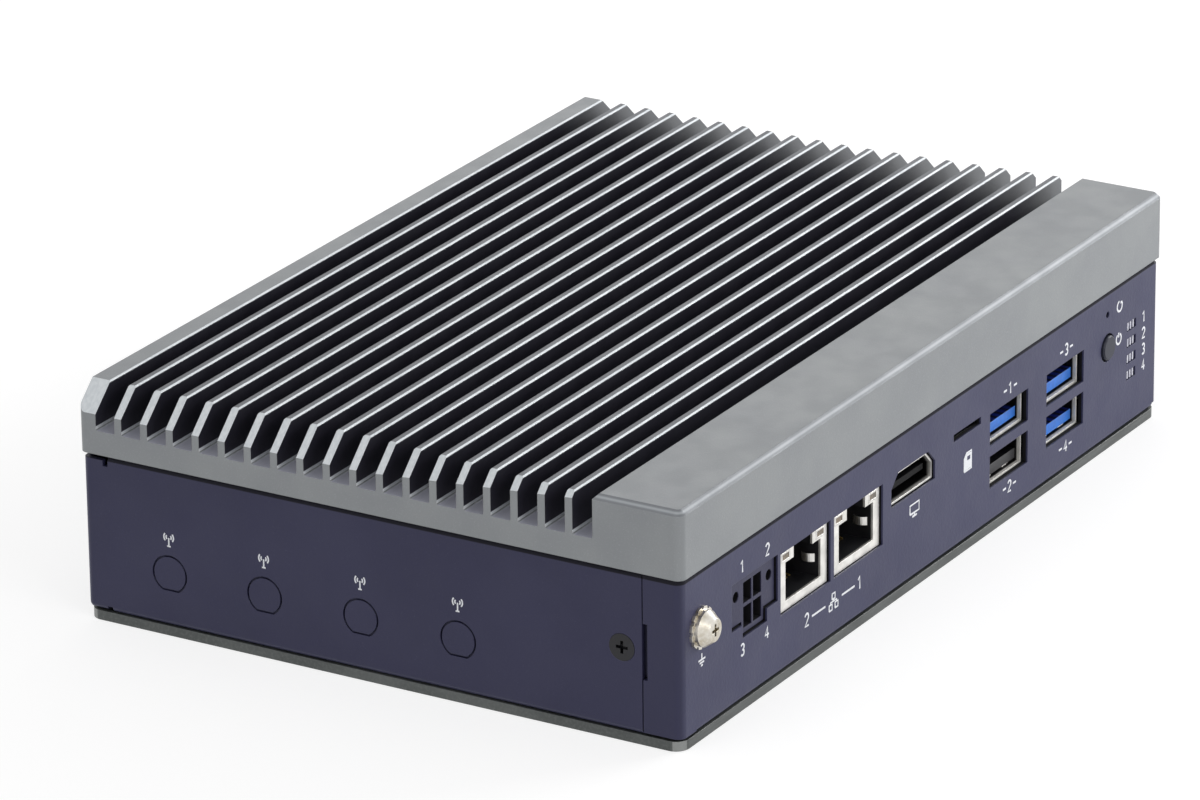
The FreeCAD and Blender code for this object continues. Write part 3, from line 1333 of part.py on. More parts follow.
def power_button():
    """The round cap with the collar that keeps it behind the panel."""
    middle = (BUTTON_X, BUTTON_Z)
    dome = BUTTON_PROUD / 2
    front = FACE - BUTTON_PROUD
    rim = rod("button_rim", "y", middle, (front, front + dome), BUTTON - dome, BUTTON)
    cap = rod("button_cap", "y", middle, (front + dome, COLLAR[1]), BUTTON)
    collar = rod("button_collar", "y", middle, COLLAR, BUTTON_FLANGE)
    return fuse("power_button", rim, cap, collar)


def power_plunger():
    """The plunger of the power switch, behind the cap."""
    ends = (COLLAR[1], POWER_SWITCH_Y + PLUNGER_IN)
    return rod("power_plunger", "y", (BUTTON_X, BUTTON_Z), ends, PLUNGER)


def power_switch():
    """The switch under the board that the power button presses."""
    y = (POWER_SWITCH_Y, POWER_SWITCH_Y + SWITCH_DEEP)
    z = (BUTTON_Z - SWITCH_UNDER, BOARD_UNDER)
    case = box("power_switch_case", span(BUTTON_X, SWITCH_WIDE), y, z)
    bore_end = POWER_SWITCH_Y + PLUNGER_IN + BUTTON_TRAVEL + FIT
    bore = rod("power_switch_bore", "y", (BUTTON_X, BUTTON_Z), (y[0], bore_end), PLUNGER + FIT)
    return cut("power_switch", case, bore)


def reset_plunger():
    """The plunger behind the reset pinhole."""
    ends = (RESET_SWITCH_Y - PLUNGER_IN, RESET_SWITCH_Y + PLUNGER_IN)
    return rod("reset_plunger", "y", (RESET_X, BOARD_TOP + RESET_Z), ends, RESET_PLUNGER)


def reset_switch():
    """The small switch on the board behind the reset pinhole."""
    z = BOARD_TOP + RESET_Z
    y = (RESET_SWITCH_Y, RESET_SWITCH_Y + RESET_DEEP)
    case = box("reset_switch_case", span(RESET_X, RESET_WIDE), y, (BOARD_TOP, z + RESET_OVER))
    bore_end = RESET_SWITCH_Y + PLUNGER_IN + RESET_TRAVEL + FIT
    bore = rod("reset_switch_bore", "y", (RESET_X, z), (y[0], bore_end), RESET_PLUNGER + FIT)
    return cut("reset_switch", case, bore)


def light_pipe():
    """The clear moulding that carries the light of four lamps to the panel."""
    spine_y = (PANEL_INNER + PIPE_BACK, PANEL_INNER + PIPE_BACK + PIPE)
    low = LED_ROWS[-1] - LED_HIGH / 2
    spine = box("light_pipe_spine", span(LED_X, LED_WIDE), spine_y, (low, BOARD_UNDER))
    fingers = []
    for number, z in enumerate(LED_ROWS, start=1):
        reach = (FACE + LED_BACK, spine_y[1])
        fingers.append(box(f"light_pipe_{number}", span(LED_X, LED_WIDE), reach, span(z, LED_HIGH)))
        for rib in range(LED_RIBS):
            middle = LED_X + (rib - (LED_RIBS - 1) / 2) * 2.5 * LED_RIB
            proud = (FACE + LED_BACK / 2, reach[0])
            label = f"light_rib_{number}_{rib + 1}"
            fingers.append(box(label, span(middle, LED_RIB), proud, span(z, LED_HIGH)))
    return fuse("light_pipe", spine, *fingers)


# ---------------------------------------------------------------------------------------------
# Cards and cells inside
# ---------------------------------------------------------------------------------------------

USB_REAR = USB_FACE + USB_DEEP
MEMORY_ROOT = USB_REAR + MEMORY_BACK
MEMORY_END = MEMORY_ROOT + MEMORY_IN + MEMORY_DEEP
CARD_Y = MEMORY_END + INNER_ROOM + SOCKET_WALL + CARD_BROAD / 2
CELL_X = BOARD_END - CELL_SIDE - CELL_WALL - CELL
CELL_Y = USB_REAR + CELL_BACK + CELL_WALL + CELL
MEMORY_X = CELL_X - CELL - CELL_WALL - INNER_ROOM - MEMORY_SIDE - MEMORY_WIDE / 2
CARDS_LONG = SSD_LONG + WIFI_LONG + 2 * (PAN_HEAD + SOCKET_DEEP - CARD_IN)
CARD_ROOM = (2 * BOARD_END - CARDS_LONG) / 3
SSD_ROOT = CARD_ROOM + PAN_HEAD + SSD_LONG - CARD_IN - BOARD_END
WIFI_ROOT = SSD_ROOT + SOCKET_DEEP + CARD_ROOM + PAN_HEAD + WIFI_LONG - CARD_IN
SOCKET_LOW = MODULE_Z - SOCKET_UNDER
CARD_SLOT = (MODULE_Z, MODULE_Z + MODULE)


def edge_socket(name, x):
    """A card-edge socket below the board, open towards -X, with its slot."""
    wide = span(CARD_Y, CARD_BROAD + 2 * SOCKET_WALL)
    case = box(f"{name}_case", (x, x + SOCKET_DEEP), wide, (SOCKET_LOW, BOARD_UNDER))
    reach = (x - 1, x + SOCKET_DEEP / 2)
    slot = box(f"{name}_slot", reach, span(CARD_Y, CARD_BROAD), CARD_SLOT)
    return cut(name, case, slot)


def edge_card(name, x, long):
    """An expansion card whose edge is in its socket, with two chips on its face."""
    root = x + CARD_IN
    board = box(f"{name}_board", (root - long, root), span(CARD_Y, CARD_BROAD), CARD_SLOT)
    chip_y = span(CARD_Y, CARD_BROAD - 2 * CARD_RIM)
    chips = []
    for number, share in enumerate((0.3, 0.7), start=1):
        chip_x = span(root - long * share, long / 4)
        chips.append(box(f"{name}_chip_{number}", chip_x, chip_y, (MODULE_Z - CARD_CHIP, MODULE_Z)))
    notch = rod(f"{name}_notch", "z", (root - long, CARD_Y), CARD_SLOT, M3 + FIT)
    return cut(name, fuse(f"{name}_blank", board, *chips), notch)


def card_posts():
    """The posts that hold the free ends of the two cards."""
    posts = []
    for name, x, long in (("ssd", SSD_ROOT, SSD_LONG), ("wireless", WIFI_ROOT, WIFI_LONG)):
        middle = (x + CARD_IN - long, CARD_Y)
        collar = rod(f"{name}_post_collar", "z", middle, (CARD_SLOT[1], BOARD_UNDER), PAN_HEAD)
        stem = rod(f"{name}_post_stem", "z", middle, (MODULE_Z, BOARD_UNDER), M3)
        head = rod(f"{name}_post_head", "z", middle, (MODULE_Z - CHIP_HIGH, MODULE_Z), PAN_HEAD)
        posts.append(fuse(f"{name}_post", collar, stem, head))
    return group("card_posts", posts)


def memory_socket():
    """The memory module's socket: a bar with two side arms."""
    wide = span(MEMORY_X, MEMORY_WIDE + 2 * MEMORY_SIDE)
    z = (SOCKET_LOW, BOARD_UNDER)
    bar = box("memory_bar", wide, (MEMORY_ROOT, MEMORY_ROOT + MEMORY_BAR), z)
    arms = []
    for tag, side in (("left", -1), ("right", 1)):
        middle = MEMORY_X + side * (MEMORY_WIDE / 2 + HEAD_GAP + MEMORY_ARM / 2)
        y = (MEMORY_ROOT, MEMORY_END - MEMORY_OPEN)
        arms.append(box(f"memory_arm_{tag}", span(middle, MEMORY_ARM), y, z))
    reach = (MEMORY_ROOT + MEMORY_IN, MEMORY_ROOT + MEMORY_BAR + 1)
    slot = box("memory_slot", span(MEMORY_X, MEMORY_WIDE), reach, CARD_SLOT)
    return cut("memory_socket", fuse("memory_socket_blank", bar, *arms), slot)


def memory_module():
    """The memory module, lying flat under the board."""
    start = MEMORY_ROOT + MEMORY_IN
    board = box("memory_board", span(MEMORY_X, MEMORY_WIDE), (start, MEMORY_END), CARD_SLOT)
    chip_y = (start + CHIP_START, start + CHIP_START + CHIP_DEEP)
    chips = []
    for number in range(4):
        chip_x = span(MEMORY_X + (number - 1.5) * MEMORY_WIDE / 4, MEMORY_CHIP)
        chip_z = (MODULE_Z - CHIP_HIGH, MODULE_Z)
        chips.append(box(f"memory_chip_{number + 1}", chip_x, chip_y, chip_z))
    return fuse("memory_module", board, *chips)


def cell_holder():
    """The round holder of the coin cell, open below."""
    low = BOARD_UNDER - CELL_TOP - CELL_HIGH
    case = rod("cell_case", "z", (CELL_X, CELL_Y), (low, BOARD_UNDER), CELL + CELL_WALL)
    well = rod("cell_well", "z", (CELL_X, CELL_Y), (low, BOARD_UNDER - CELL_TOP), CELL + 2 * FIT)
    return cut("cell_holder", case, well)


def coin_cell():
    """The coin cell."""
    top = BOARD_UNDER - CELL_TOP
    return rod("coin_cell", "z", (CELL_X, CELL_Y), (top - CELL_HIGH, top), CELL)


def power_coils():
    """The row of power coils beside the processor."""
    coils = []
    for number in range(4):
        y = span((number - 1.5) * COIL_PITCH, COIL)
        z = (BOARD_TOP, BOARD_TOP + COIL_HIGH)
        coils.append(box(f"coil_{number + 1}", span(COIL_OUT, COIL), y, z))
    return group("power_coils", coils)


# ---------------------------------------------------------------------------------------------
# The assembly
# ---------------------------------------------------------------------------------------------

def assemble():
    """Every sub-part, in the order it would go together."""
    parts = [
        base_plate(), mounting_nuts(), chassis(), flange_nuts(), base_screws(),
        front_panel(), side_screws(), ground_screw(), ground_washer(), ground_nut(),
        heatsink_cover(), cover_screws(), mainboard(), board_screws(),
        processor(), thermal_pad(), power_coils(),
        video_shell(), video_insert(), card_socket(), power_header(), power_pins(),
        power_button(), power_plunger(), power_switch(), reset_plunger(), reset_switch(),
        light_pipe(), memory_socket(), memory_module(), cell_holder(), coin_cell(),
        edge_socket("ssd_socket", SSD_ROOT), edge_card("ssd_card", SSD_ROOT, SSD_LONG),
        edge_socket("wireless_socket", WIFI_ROOT), edge_card("wireless_card", WIFI_ROOT, WIFI_LONG),
        card_posts(),
    ]
    for number, x in enumerate(JACKS, start=1):
        parts += [jack_shield(number, x), jack_housing(number, x)]
        parts += [jack_lamps(number, x), jack_contacts(number, x)]
    for number, x in enumerate(USB_COLUMNS, start=1):
        parts.append(serial_shell(number, x))
        for row in range(len(USB_ROWS)):
            parts.append(serial_tongue(2 * number - 1 + row, x, row))
    return parts


def check(parts):
    """Stop on a failed object, or on a sub-part whose solids are not whole."""
    for item in doc.Objects:
        bad = [state for state in item.State if state in ("Invalid", "Error")]
        assert not bad, f"{item.Name} is {bad}"
    for part in parts:
        shape = part.Shape
        assert not shape.isNull() and shape.isValid() and shape.Solids, f"{part.Name} has no sound solid"


def write(parts):
    """One STEP file for each sub-part, named by its label."""
    os.makedirs("parts", exist_ok=True)
    for part in parts:
        part.Label = part.Name.removesuffix("_body")
        part.Shape.exportStep(f"parts/{part.Label}.step")
        print(f"{part.Label:18s} {len(part.Shape.Solids):2d} solids {part.Shape.Volume:11.1f} mm3")


doc.recompute()
all_parts = assemble()
doc.recompute()
check(all_parts)
write(all_parts)
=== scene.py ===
import json
import math

import bpy
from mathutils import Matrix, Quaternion, Vector

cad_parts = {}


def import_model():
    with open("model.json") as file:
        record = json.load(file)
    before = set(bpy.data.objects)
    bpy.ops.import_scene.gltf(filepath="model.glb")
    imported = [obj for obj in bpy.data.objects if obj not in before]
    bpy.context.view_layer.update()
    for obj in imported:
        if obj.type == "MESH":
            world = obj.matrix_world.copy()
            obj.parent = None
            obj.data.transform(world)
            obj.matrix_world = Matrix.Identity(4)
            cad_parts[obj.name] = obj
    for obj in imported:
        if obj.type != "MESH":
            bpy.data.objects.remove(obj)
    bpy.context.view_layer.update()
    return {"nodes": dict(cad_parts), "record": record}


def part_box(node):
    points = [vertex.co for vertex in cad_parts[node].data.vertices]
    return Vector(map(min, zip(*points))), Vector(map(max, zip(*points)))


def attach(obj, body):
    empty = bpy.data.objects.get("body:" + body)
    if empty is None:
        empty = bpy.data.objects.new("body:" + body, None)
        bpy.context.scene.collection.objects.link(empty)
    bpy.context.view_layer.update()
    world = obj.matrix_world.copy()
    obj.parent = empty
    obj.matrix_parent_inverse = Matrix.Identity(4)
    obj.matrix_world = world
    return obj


# Looks of the fanless industrial computer. X is along the port panel, which faces -Y, and Z is up.
# Lengths are millimetres and are turned into metres by MM, apart from those of the floor, the
# lamps and the camera, which are metres.

MM = 0.001

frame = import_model()


# ---------------------------------------------------------------------------------------------
# Places read from the frame
# ---------------------------------------------------------------------------------------------

def box(node):
    """Lowest and highest corner of a CAD node, in millimetres."""
    low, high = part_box(node)
    return low / MM, high / MM


def near(node, across, up, level="middle"):
    """A place on the port panel: across from a node's middle, and up from one of its levels."""
    low, high = box(node)
    levels = {"low": low.z, "middle": (low.z + high.z) / 2, "high": high.z}
    return (low.x + high.x) / 2 + across, levels[level] + up


COVER_LOW, COVER_HIGH = box("heatsink_cover")
CHASSIS_LOW, CHASSIS_HIGH = box("chassis")
JACKS = [(low + high) / 2 for low, high in (box("jack_shield_1"), box("jack_shield_2"))]
SERIALS = [box("serial_shell_1"), box("serial_shell_2")]
FACE = box("front_panel")[0].y              # outer face of the port panel
SIDE = CHASSIS_LOW.x                        # outer face of the side with the knock-outs
SHEET_END = CHASSIS_HIGH.x                  # outer face of the other side
SHEET_TOP = CHASSIS_HIGH.z                  # where the cover's body rests
CHANNEL_FLOOR = SHEET_TOP + 4.3             # floor of the channels between the fins
FIN_TOP = COVER_HIGH.z - 0.4
BAND_REAR = COVER_LOW.y + 16.45             # just behind the flat band
REAR_FIN = COVER_HIGH.y - 3.55              # just inside the thick rear fin
HEADER_FACE = box("power_header")[0].y


# ---------------------------------------------------------------------------------------------
# Materials
# ---------------------------------------------------------------------------------------------

def linear(value):
    """One display value from 0 to 255 as a linear one."""
    value /= 255
    if value <= 0.04045:
        return value / 12.92
    return ((value + 0.055) / 1.055) ** 2.4


def rgb(*values):
    """A display colour as a linear colour with alpha."""
    return (*map(linear, values), 1.0)


WHITE = (1, 1, 1, 1)
EVEN = (1, 1, 1)                # noise that runs the same way along every axis
CLOUD = (0.3, 0.7)              # the range of values that noise mostly has
SHADOW = rgb(12, 11, 16)        # what an opening or a joint looks like further in
BEVEL_SAMPLES = 6


class Look:
    """A Principled material, with short names for the nodes that feed it."""

    def __init__(self, name, metallic=0.0, level=0.5, coat=0.0):
        self.material = bpy.data.materials.new(name)
        self.material.use_nodes = True
        self.nodes = self.material.node_tree.nodes
        self.links = self.material.node_tree.links
        self.shader = self.nodes["Principled BSDF"]
        self.set(self.shader, "Metallic", metallic)
        self.set(self.shader, "Specular IOR Level", level)
        self.set(self.shader, "Coat Weight", coat)
        self.set(self.shader, "Coat Roughness", 0.2)
        self.where = self.node("TexCoord").outputs["Object"]
        self.heights = None

    def set(self, node, socket, value):
        """Give a socket a constant, or link a source into it."""
        if isinstance(value, bpy.types.NodeSocket):
            self.links.new(value, node.inputs[socket])
        else:
            node.inputs[socket].default_value = value

    def node(self, kind, inputs=None, **settings):
        """A new node, with its settings and then its sockets, by name or number."""
        node = self.nodes.new("ShaderNode" + kind)
        for setting, value in settings.items():
            setattr(node, setting, value)
        for socket, value in (inputs or {}).items():
            self.set(node, socket, value)
        return node

    def axes(self, vector):
        """The three parts of a vector."""
        return self.node("SeparateXYZ", {0: vector}).outputs

    def normal(self):
        """The three parts of the direction that the surface faces."""
        return self.axes(self.node("NewGeometry").outputs["True Normal"])

    def calculate(self, kind, first, second=0.0):
        """A Math node."""
        return self.node("Math", {0: first, 1: second}, operation=kind).outputs[0]

    def times(self, first, second):
        """One value times another, which keeps a mask to where both are 1."""
        return self.calculate("MULTIPLY", first, second)

    def absolute(self, value):
        """A value without its sign."""
        return self.calculate("ABSOLUTE", value)

    def fit(self, value, low, high, start=0.0, end=1.0):
        """A value that runs smoothly from start to end between low and high."""
        inputs = dict(enumerate((value, low, high, start, end)))
        return self.node("MapRange", inputs, interpolation_type="SMOOTHSTEP").outputs[0]

    def between(self, value, low, high, soft):
        """1 inside a range and 0 outside it, with soft ends."""
        rise = self.fit(value, low - soft, low + soft)
        fall = self.fit(value, high - soft, high + soft, 1.0, 0.0)
        return self.times(rise, fall)

    def past(self, axis, low, high, start=0.0, end=1.0):
        """The same as fit, between two places in millimetres."""
        return self.fit(axis, low * MM, high * MM, start, end)

    def within(self, axis, low, high, soft):
        """The same as between, for places in millimetres."""
        return self.between(axis, low * MM, high * MM, soft * MM)

    def grain(self, size, detail=3.0, stretch=EVEN):
        """Noise whose cells are so many millimetres across."""
        turn = self.node("Mapping", {"Vector": self.where, "Scale": stretch})
        inputs = {"Vector": turn.outputs[0], "Scale": 1 / (size * MM), "Detail": detail}
        return self.node("TexNoise", inputs).outputs[0]

    def cells(self, size):
        """Small rounded cells, such as the beads of a powder coat."""
        inputs = {"Vector": self.where, "Scale": 1 / (size * MM)}
        return self.node("TexVoronoi", inputs).outputs["Distance"]

    def mix(self, factor, first, second):
        """A colour between two colours."""
        inputs = {"Factor": factor, 6: first, 7: second}
        return self.node("Mix", inputs, data_type="RGBA").outputs[2]

    def shades(self, cloud, dark, light):
        """A colour that drifts between two shades."""
        return self.mix(self.fit(cloud, *CLOUD), dark, light)

    def drift(self, cloud, low, high):
        """A value that drifts between two values."""
        return self.fit(cloud, *CLOUD, low, high)

    def edge(self):
        """1 on chamfers, facets and rounded edges, 0 on faces square to an axis."""
        parts = [self.absolute(part) for part in self.normal()]
        most = self.calculate("MAXIMUM", parts[0], parts[1])
        most = self.calculate("MAXIMUM", most, parts[2])
        return self.fit(most, 0.94, 0.985, 1.0, 0.0)

    def rounded(self, radius):
        """The normal with edges rounded to a radius in millimetres."""
        return self.node("Bevel", {"Radius": radius * MM}, samples=BEVEL_SAMPLES).outputs[0]

    def bump(self, height, depth, radius=None):
        """Raise the surface by so many millimetres. A radius rounds its edges first."""
        node = self.node("Bump", {"Strength": 1.0, "Distance": depth * MM, "Height": height})
        if self.heights is not None:
            self.set(node, "Normal", self.heights)
        elif radius:
            self.set(node, "Normal", self.rounded(radius))
        self.heights = node.outputs[0]
        self.set(self.shader, "Normal", self.heights)

    def finish(self, colour, roughness):
        """Give the shader its colour and roughness, and return the material."""
        self.set(self.shader, "Base Color", colour)
        self.set(self.shader, "Roughness", roughness)
        return self.material


def cover_look():
    """Bead-blasted aluminium with lighter milled edges, painted highlights, and painted shade
    between fins.
    """
    look = Look("cover_aluminium", metallic=0.2, level=0.3)
    x, y, z = look.axes(look.where)
    normal = look.normal()
    upward = look.absolute(normal[2])
    inside = look.within(y, BAND_REAR, REAR_FIN, 0.05)
    behind = look.past(y, BAND_REAR - 0.2, BAND_REAR - 0.1)
    ends = look.past(look.absolute(x), COVER_HIGH.x - 15, COVER_HIGH.x - 3)

    speck = look.grain(0.22, 2.0)
    colour = look.shades(look.grain(14.0, 2.0), rgb(132, 135, 138), rgb(138, 141, 143))
    colour = look.mix(look.fit(speck, 0.55, 0.8, 0.0, 0.3), colour, rgb(166, 169, 172))

    # The channels' floors: painted shade in the middle, and painted light near their ends, where
    # light gets in
    bottom = look.times(inside, look.past(z, CHANNEL_FLOOR + 0.1, CHANNEL_FLOOR + 0.3, 1.0, 0.0))
    bottom = look.times(bottom, look.fit(upward, 0.8, 0.95))
    shade = look.mix(ends, rgb(58, 58, 66), rgb(168, 169, 184))
    colour = look.mix(look.times(bottom, 0.8), colour, shade)

    # The channels' walls: a near-black painted shade, fading at the right end
    flat = look.fit(look.absolute(normal[1]), 0.9, 0.98)
    high = look.within(z, CHANNEL_FLOOR + 0.2, FIN_TOP - 0.3, 0.2)
    wall = look.times(flat, look.times(inside, high))
    wall = look.times(wall, look.past(x, COVER_HIGH.x - 21, COVER_HIGH.x + 1, 1.0, 0.35))
    black = look.mix(look.grain(3.0, 2.0), rgb(32, 31, 40), rgb(42, 41, 51))
    colour = look.mix(wall, colour, black)

    # A painted highlight along the foot of each wall that faces the ports, a pale line near the
    # ends
    root_highlight = look.times(inside, look.fit(normal[1], -0.98, -0.9, 1.0, 0.0))
    root_highlight = look.times(root_highlight, look.past(z, CHANNEL_FLOOR + 0.7, CHANNEL_FLOOR + 0.8, 1.0, 0.0))
    colour = look.mix(look.times(root_highlight, ends), colour, rgb(226, 230, 233))

    # The fins' tops
    tip = look.times(inside, look.past(z, FIN_TOP - 0.2, FIN_TOP - 0.1))
    tip = look.times(tip, look.fit(normal[2], 0.95, 0.98, 0.0, 0.8))
    colour = look.mix(tip, colour, rgb(84, 86, 92))

    # The milled slopes at the fins' ends and edges: lighter bare metal, with a painted highlight
    slope = look.between(upward, 0.15, 0.95, 0.03)
    on_fins = look.times(behind, look.past(z, CHANNEL_FLOOR + 1.7, CHANNEL_FLOOR + 2.7))
    streak = look.grain(0.6, 2.0, (0.05, 1, 1))
    milled = look.shades(streak, rgb(194, 199, 203), rgb(206, 210, 213))
    colour = look.mix(look.times(slope, on_fins), colour, milled)

    # The chamfer round the band: a painted shade, with a painted highlight as a lighter line along
    # its upper half
    ridge_highlight = look.within(z, COVER_HIGH.z - 0.6, COVER_HIGH.z - 0.3, 0.12)
    rim = look.mix(ridge_highlight, rgb(116, 119, 123), rgb(150, 154, 158))
    on_band = look.times(look.calculate("SUBTRACT", 1.0, behind), slope)
    colour = look.mix(on_band, colour, rim)

    look.bump(speck, 0.02, 0.18)
    look.bump(look.cells(0.35), 0.008)
    return look.finish(colour, look.drift(look.grain(5.0), 0.36, 0.46))


def paint_look(name="housing_paint", dark=rgb(42, 42, 68), light=rgb(47, 47, 73), cut=None):
    """Navy powder coat with the fine ripple of cured powder, a little lighter along the folds.

    The joint under the cover gets a painted shadow. With a cut, so do the openings, from y = cut
    on."""
    look = Look(name, level=0.3)
    navy = look.shades(look.grain(22.0), dark, light)
    fleck = look.fit(look.grain(0.35, 2.0), 0.6, 0.85, 0.0, 0.2)
    navy = look.mix(fleck, navy, rgb(78, 78, 104))
    navy = look.mix(look.times(look.edge(), 0.18), navy, rgb(112, 114, 136))
    x, y, z = look.axes(look.where)
    # Painted shadow under the cover's overhang, which also dulls the shine there
    shade = look.past(z, SHEET_TOP - 1.1, SHEET_TOP - 0.9, 0.0, 0.9)
    if cut is not None:
        # Near the sides the port face's lighter navy, a painted light, gives way to the housing's
        front = look.past(look.absolute(x), SHEET_END - 2.1, SHEET_END - 0.1, 1.0, 0.0)
        navy = look.mix(front, rgb(43, 43, 69), navy)
        # Painted shadow in the openings
        deep = look.past(y, cut - 0.05, cut + 0.1)
        shade = look.calculate("MAXIMUM", look.times(front, deep), shade)
    navy = look.mix(shade, navy, SHADOW)
    look.bump(look.grain(0.5, 2.0), 0.03, 0.15)
    look.bump(look.cells(0.9), 0.01)
    rough = look.drift(look.grain(7.0), 0.42, 0.5)
    return look.finish(navy, look.calculate("MAXIMUM", rough, shade))


def metal_look(name, dark, light, stretch, roughness, metallic=0.9):
    """A metal with fine drawn or rolled lines and slightly clouded colour."""
    look = Look(name, metallic=metallic)
    lines = look.grain(0.5, 4.0, stretch)
    cloud = look.grain(4.0, 2.0)
    colour = look.shades(cloud, dark, light)
    colour = look.mix(look.fit(lines, 0.35, 0.75, 0.0, 0.5), colour, light)
    look.bump(lines, 0.006, 0.06)
    return look.finish(colour, look.drift(cloud, roughness, roughness + 0.1))


def plastic_look(name, dark, light, roughness, depth=0.012, level=0.5):
    """Moulded plastic with a fine spark-eroded grain."""
    look = Look(name, level=level)
    cloud = look.grain(3.0, 2.0)
    look.bump(look.grain(0.12, 2.0), depth, 0.08)
    rough = look.drift(cloud, roughness, roughness + 0.08)
    return look.finish(look.shades(cloud, dark, light), rough)


def plate_look():
    """The steel base plate, rolled along X, with a paler sheared edge."""
    look = Look("plate_steel", metallic=0.6)
    lines = look.grain(0.5, 4.0, (0.06, 1, 1))
    cloud = look.grain(9.0)
    grey = look.shades(cloud, rgb(76, 79, 78), rgb(90, 93, 92))
    grey = look.mix(look.fit(lines, 0.4, 0.8, 0.0, 0.4), grey, rgb(114, 117, 116))
    grey = look.mix(look.times(look.edge(), 0.5), grey, rgb(168, 170, 168))
    look.bump(lines, 0.008, 0.2)
    return look.finish(grey, look.drift(cloud, 0.38, 0.5))


def port_look(name, bright, dark, metallic=0.6):
    """A connector's plated shell, bright to one depth behind the panel, and a painted shade from
    another.
    """
    look = Look(name, metallic=metallic)
    y = look.axes(look.where)[1]
    cloud = look.grain(2.0, 2.0)
    plated = look.shades(cloud, rgb(218, 216, 211), rgb(238, 236, 231))
    # Painted shade deeper in the port, full from y = FACE + dark
    colour = look.mix(look.past(y, FACE + bright, FACE + dark), plated, rgb(18, 17, 18))
    look.bump(look.grain(0.3, 3.0, (0.3, 1, 1)), 0.006, 0.08)
    return look.finish(colour, look.drift(cloud, 0.28, 0.38))


def tongue_look(name, front, top):
    """The tongue of a serial port: plain in front, painted shade on top, with a row of dark
    contact slots.
    """
    look = Look(name)
    x = look.axes(look.where)[0]
    slots = look.within(look.calculate("PINGPONG", x, 1.0 * MM), 0.55, 1.2, 0.08)
    # The top is the front's plastic in a painted shade
    above = look.mix(slots, top, rgb(8, 8, 14))
    face = look.mix(look.drift(look.grain(1.5, 2.0), 0.0, 0.25), front, top)
    look.bump(look.grain(0.12, 2.0), 0.01, 0.08)
    return look.finish(look.mix(look.fit(look.normal()[2], 0.4, 0.6), face, above), 0.36)


def pipe_look():
    """The frosted moulding of the status lamps, with pale ribs and a painted grey shade between
    them.
    """
    look = Look("light_pipe", coat=0.3)
    y = look.axes(look.where)[1]
    cloud = look.grain(0.8, 2.0)
    rib = look.shades(cloud, rgb(176, 176, 190), rgb(206, 206, 216))
    groove_shade = look.shades(cloud, rgb(92, 92, 110), rgb(112, 112, 130))
    # Painted shade in the grooves, behind the ribs' faces
    colour = look.mix(look.past(y, FACE + 0.28, FACE + 0.33), rib, groove_shade)
    look.bump(look.grain(0.3, 2.0), 0.01, 0.06)
    return look.finish(colour, look.drift(cloud, 0.3, 0.42))


def lamp_look(name, dark, light):
    """A clear tinted moulding over an unlit lamp."""
    look = Look(name, coat=0.4)
    look.set(look.shader, "Transmission Weight", 0.25)
    cloud = look.grain(1.2, 2.0)
    look.bump(look.grain(0.5, 2.0), 0.01, 0.08)
    return look.finish(look.shades(cloud, dark, light), look.drift(cloud, 0.22, 0.34))


def board_look():
    """A solder-masked board with copper traces under the green."""
    look = Look("board", coat=0.3)
    inputs = {"Vector": look.where, "Scale": 420.0, "Mortar Size": 0.02}
    traces = look.node("TexBrick", inputs).outputs["Fac"]
    green = look.mix(look.grain(6.0), rgb(22, 68, 46), rgb(32, 88, 58))
    green = look.mix(look.times(traces, 0.6), green, rgb(60, 120, 80))
    look.bump(traces, 0.02)
    return look.finish(green, look.drift(look.grain(1.0), 0.35, 0.5))


def ink_look():
    """White screen print, with the slightly uneven edge and cover that it has on paint."""
    look = Look("ink")
    cover = look.grain(0.25)
    thin = look.fit(cover, 0.55, 0.8, 0.0, 0.5)
    look.bump(look.grain(0.2, 2.0), 0.006)
    white = look.mix(thin, rgb(226, 228, 232), rgb(170, 172, 186))
    return look.finish(white, look.drift(cover, 0.5, 0.65))


